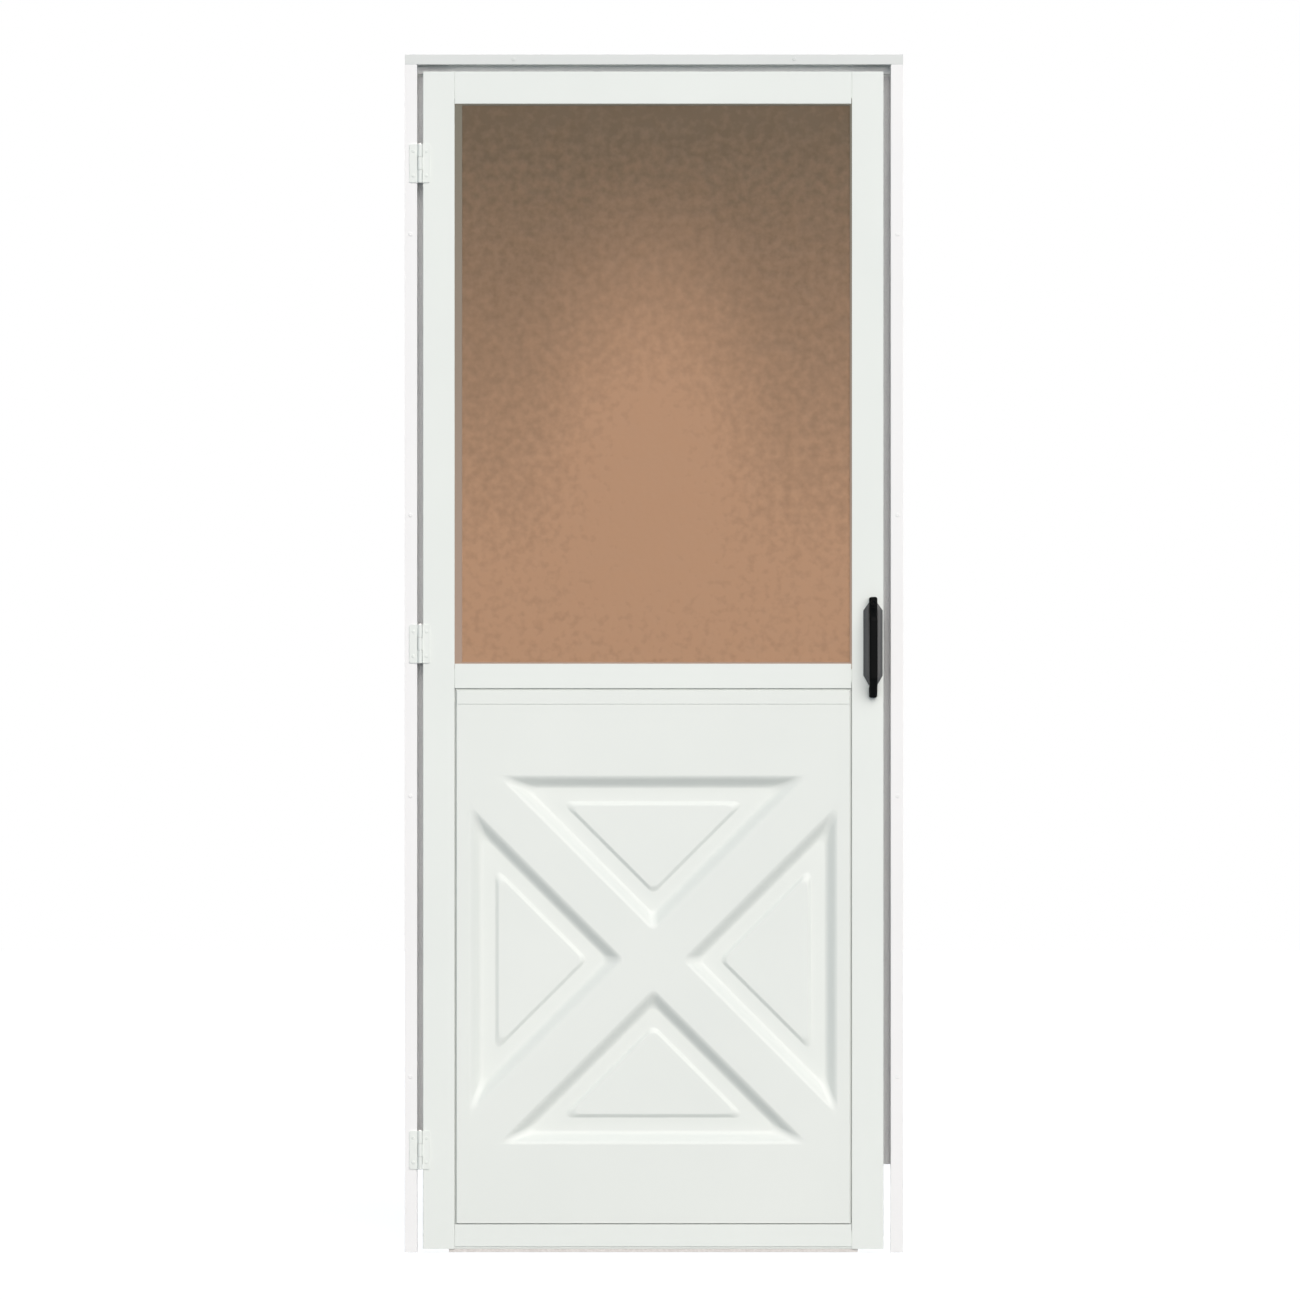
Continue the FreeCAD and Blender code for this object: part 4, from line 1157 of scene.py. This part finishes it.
# %% Thumb button
BUTTON_FACE = [(0, 0.9), (2.0, 0.6), (3.2, 0.1), (3.8, 0.0), (4.3, 0.3), (4.6, 1.0)]
button_low, button_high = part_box("thumb_button")
button = (button_low + button_high) / 2
outline = [(off * MM, button_low.y + back * MM) for off, back in BUTTON_FACE]
outline += [(outline[-1][0], button_high.y), (0, button_high.y)]
bm = lathe([(button.x + off, back, button.z) for off, back in outline], button, (0, 1, 0))
make_piece("turned_thumb_button", bm, handle_black, "button", "handle_black", "thumb_button")

# %% [markdown]
# ## Latch on the inside
# The case of the latch is a pressed box screwed to the back of the stile, open towards it.
# A bolt slides out of its edge. The box could be made of five plates, but it is pressed from
# one sheet: a block whose open side is inset and pushed in, which leaves thin walls, and
# whose back is rounded.

# %% Latch case and bolt
CASE_WALL = 2.0 * MM
CASE_ROUND = 4.0 * MM
CASE_PANEL = 6.0 * MM
CASE_PRESS = 0.7 * MM
BOLT_ROUND = 0.8 * MM
case_low, case_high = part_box("latch_case")
bm = block(case_low, case_high)
open_side = faces_on(bm, 1, case_low.y)
step_in(bm, open_side, CASE_WALL, 0.0)
push(bm, open_side, (0, case_high.y - case_low.y - CASE_ROUND, 0))
bmesh.ops.recalc_face_normals(bm, faces=bm.faces[:])
back_rim = [edge for face in faces_on(bm, 1, case_high.y) for edge in face.edges]
upright = [edge for edge in ridges(bm, runs_along(1))
           if max(corner.co.y for corner in edge.verts) > case_high.y - NEAR]
soften(bm, back_rim + upright, CASE_ROUND - NEAR, 5)
back = faces_on(bm, 1, case_high.y)
step_in(bm, back, CASE_PANEL, 0.0)
step_in(bm, back, CASE_PRESS, -CASE_PRESS)
make_piece("pressed_latch_case", bm, handle_black, "leaf", "handle_black", "latch_case")
bolt_low, bolt_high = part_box("latch_bolt")
bm = block(bolt_low, bolt_high)
nose = [edge for face in faces_on(bm, 0, bolt_high.x) for edge in face.edges]
soften(bm, nose, BOLT_ROUND, 3)
make_piece("steel_latch_bolt", bm, plated_steel, "leaf", "plated_steel", "latch_bolt")

# %% [markdown]
# ## Inside lever
# The lever that works the latch from inside is a tapered arm cast on a round hub. Arm and hub
# could be two pieces, but the casting is one, so both go into one mesh. The arm is an outline
# drawn out to its thickness, with rounded edges. The hub is round, so its outline is spun
# about the spindle.

# %% Inside lever
LEVER_ARM = [(0, 7.5), (-78, 5.25), (-78, -5.25), (0, -7.5)]
LEVER_THICK = 6 * MM
LEVER_ROUND = 1.8 * MM
HUB_RADIUS = 8 * MM
HUB_SIDE = [(0, 0), (8, 0), (8, 2.2), (7.2, 3), (5.5, 3.6), (5.5, 14.5),
            (6.4, 15.5), (7.6, 16), (7.6, 20), (6.6, 21.6), (4, 22), (0, 22)]

lever_low, lever_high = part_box("inside_lever")
hub = Vector((lever_high.x - HUB_RADIUS, lever_low.y, (lever_low.z + lever_high.z) / 2))
arm_front = lever_high.y - LEVER_THICK
points = [(hub.x + across * MM, arm_front, hub.z + up * MM) for across, up in LEVER_ARM]
bm = prism(points, (0, LEVER_THICK, 0))
arm = ridges(bm, lambda edge: min(corner.co.x for corner in edge.verts) < hub.x - NEAR)
soften(bm, arm, LEVER_ROUND, 4)
points = [(hub.x + off * MM, hub.y + back * MM, hub.z) for off, back in HUB_SIDE]
absorb(bm, lathe(points, hub, (0, 1, 0)))
make_piece("cast_inside_lever", bm, handle_black, "leaf", "handle_black", "inside_lever")

# %% [markdown]
# ## Strike
# The strike is a flat plate on the stop leg with a hole for the bolt's nose. A Boolean
# modifier could punch the hole, but a straight hole needs no more than four cuts: planes mark
# it on both faces of a thin block, the middles are taken out, and the two rims are bridged.

# %% Strike plate
STRIKE_HOLE = (4.5 * MM, 11 * MM)
STRIKE_ROUND = 1.5 * MM
strike_low, strike_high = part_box("strike_plate")
strike = (strike_low + strike_high) / 2
bm = block(strike_low, strike_high)
soften(bm, ridges(bm, runs_along(1)), STRIKE_ROUND, 3)
for axis, half in ((0, STRIKE_HOLE[0]), (2, STRIKE_HOLE[1])):
    for side in (-1, 1):
        cut(bm, axis, strike[axis] + side * half)


def in_hole(spot):
    return abs(spot.x - strike.x) < STRIKE_HOLE[0] and abs(spot.z - strike.z) < STRIKE_HOLE[1]


middles = faces_on(bm, 1, strike_low.y, in_hole) + faces_on(bm, 1, strike_high.y, in_hole)
rims = list({rim for face in middles for rim in face.edges})
bmesh.ops.delete(bm, geom=middles, context="FACES_ONLY")
bmesh.ops.bridge_loops(bm, edges=rims)
make_piece("steel_strike_plate", bm, plated_steel, "frame", "plated_steel", "strike_plate")

# %% [markdown]
# ## Screw heads
# Small screws with a cross recess hold the door together. A ball cut in half would pass for
# a head from far away. Here a head starts as a disc, which is drawn up and then narrowed in
# rings to a low dome. Planes mark a cross on its top, and the cross is pushed in. Each head
# is turned by chance, as a driver leaves it.

# %% Screw heads
HEAD_WALL = 0.45
HEAD_RINGS = ((0.35, 0.86), (0.20, 0.70))
CROSS_WIDE = 0.10
CROSS_LONG = 0.42
CROSS_DEEP = 0.30
HEAD_SIDES = 20
HEAD_SUNK = 0.15 * MM


def screw_head(radius, tall):
    bm = bmesh.new()
    bmesh.ops.create_circle(bm, cap_ends=True, radius=radius, segments=HEAD_SIDES)
    top = draw_out(bm, bm.faces[:], (0, 0, HEAD_WALL * tall))
    for share, narrow in HEAD_RINGS:
        top = push(bm, top, (0, 0, share * tall))
        corners = list({corner for face in top for corner in face.verts})
        bmesh.ops.scale(bm, verts=corners, vec=(narrow, narrow, 1))
    for axis in (0, 1):
        for place in (-CROSS_LONG, -CROSS_WIDE, CROSS_WIDE, CROSS_LONG):
            cut(bm, axis, place * radius, faces_on(bm, 2, tall))
    cross = faces_on(bm, 2, tall, lambda spot:
                     min(abs(spot.x), abs(spot.y)) < CROSS_WIDE * radius
                     and max(abs(spot.x), abs(spot.y)) < CROSS_LONG * radius)
    push(bm, cross, (0, 0, -CROSS_DEEP * tall))
    bmesh.ops.recalc_face_normals(bm, faces=bm.faces[:])
    return bm


def screws(name, spots, way, radius, tall, finish, body, slot):
    bm = bmesh.new()
    way = Vector(way)
    upright = way.to_track_quat("Z", "Y").to_matrix().to_4x4()
    for spot in spots:
        head = screw_head(radius, tall)
        twist = Matrix.Rotation(chance.uniform(0, math.pi / 2), 4, "Z")
        seat = Matrix.Translation(Vector(spot) - HEAD_SUNK * way)
        bmesh.ops.transform(head, matrix=seat @ upright @ twist, verts=head.verts[:])
        absorb(bm, head)
    make_piece(name, bm, finish, body, slot)


print("heads have", HEAD_SIDES, "sides")

# %% [markdown]
# ## Flange screws
# A row of screws holds each flange to the casing. They could be strung along by an array, but
# their heads have to cover the holes of the solids, so their places are written down. They
# are painted like the bar that they sit on.

# %% Flange screws
FLANGE_SCREW = (3.6 * MM, 1.0 * MM)
FLANGE_LEVELS = (0.300, 0.780, 1.260, 1.740)
HINGE_FLANGE = 0.0
HEADER_SPREAD = 240 * MM
OUTSIDE = (0, -1, 0)

flange_front = head_low.y
latch_flange = (head_pile_high.x + BAR_WALL + head_high.x) / 2
header_level = (web_level + BAR_WALL + head_high.z) / 2
spots = [(x, flange_front, level) for x in (HINGE_FLANGE, latch_flange)
         for level in FLANGE_LEVELS]
screws("jamb_flange_screws", spots, OUTSIDE, *FLANGE_SCREW,
       jamb_enamel, "frame", "white_paint")
head_middle = (head_low.x + head_high.x) / 2
spots = [(head_middle + side * HEADER_SPREAD, flange_front, header_level) for side in (-1, 1)]
screws("header_flange_screws", spots, OUTSIDE, *FLANGE_SCREW,
       head_enamel_painted_shade, "frame", "white_paint")

# %% [markdown]
# ## Screws of hinges and corners
# Two screws hold each hinge plate, and one more pulls every rail against the stile at each of
# its ends. Their places could be written down too, but they follow the boxes of plates and
# rails, so they would move with them. They are painted like the plates and the stiles.

# %% Screws of hinges and corners
HINGE_SCREW = (3.0 * MM, 0.9 * MM)
CORNER_SCREW = (3.2 * MM, 0.8 * MM)
HINGE_SPREAD = 21 * MM

for kind, way, body in (("jamb", -1, "frame"), ("door", 1, "leaf")):
    spots = []
    for level in ("lower", "middle", "upper"):
        low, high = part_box(f"{level}_hinge_{kind}_leaf")
        pin_low, pin_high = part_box(f"{level}_hinge_pin")
        pin = (pin_low + pin_high) / 2
        far = low.x if way < 0 else high.x
        across = (far + pin.x + way * KNUCKLE_ROOM) / 2
        middle = (low.z + high.z) / 2
        spots += [(across, pin.y, middle + side * HINGE_SPREAD) for side in (-1, 1)]
    screws(f"{kind}_hinge_screws", spots, OUTSIDE, *HINGE_SCREW,
           upright_enamel, body, "white_paint")

rail_boxes = [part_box(name) for name in ("top_rail", "mid_rail", "bottom_rail")]
corner_levels = [(low.z + high.z) / 2 for low, high in rail_boxes]
stile_middle = (rail_low.y + rail_high.y) / 2
for name, place, way in (("hinge_corner_screws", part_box("hinge_stile")[0].x, (-1, 0, 0)),
                         ("latch_corner_screws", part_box("latch_stile")[1].x, (1, 0, 0))):
    spots = [(place, stile_middle, level) for level in corner_levels]
    screws(name, spots, way, *CORNER_SCREW, upright_enamel, "leaf", "white_paint")

# %% [markdown]
# ## Screws of latch and strike
# Latch case and strike are held from the inside by small plated screws that stay bare, so
# they show as bright spots. Here too the places follow the boxes. The lower screw of the case
# sits above the lever's hub.

# %% Screws of latch and strike
LATCH_SCREW = (2.6 * MM, 1.1 * MM)
CASE_HEAD, CASE_FOOT = 14 * MM, 36 * MM
STRIKE_SPREAD = 20 * MM
INSIDE = (0, 1, 0)

case_middle = (case_low.x + case_high.x) / 2
case_levels = (case_high.z - CASE_HEAD, case_low.z + CASE_FOOT)
spots = [(case_middle, case_high.y - CASE_PRESS, level) for level in case_levels]
screws("latch_case_screws", spots, INSIDE, *LATCH_SCREW, plated_steel, "leaf", "plated_steel")
spots = [(strike.x, strike_high.y, strike.z + side * STRIKE_SPREAD) for side in (-1, 1)]
screws("strike_screws", spots, INSIDE, *LATCH_SCREW, plated_steel, "frame", "plated_steel")
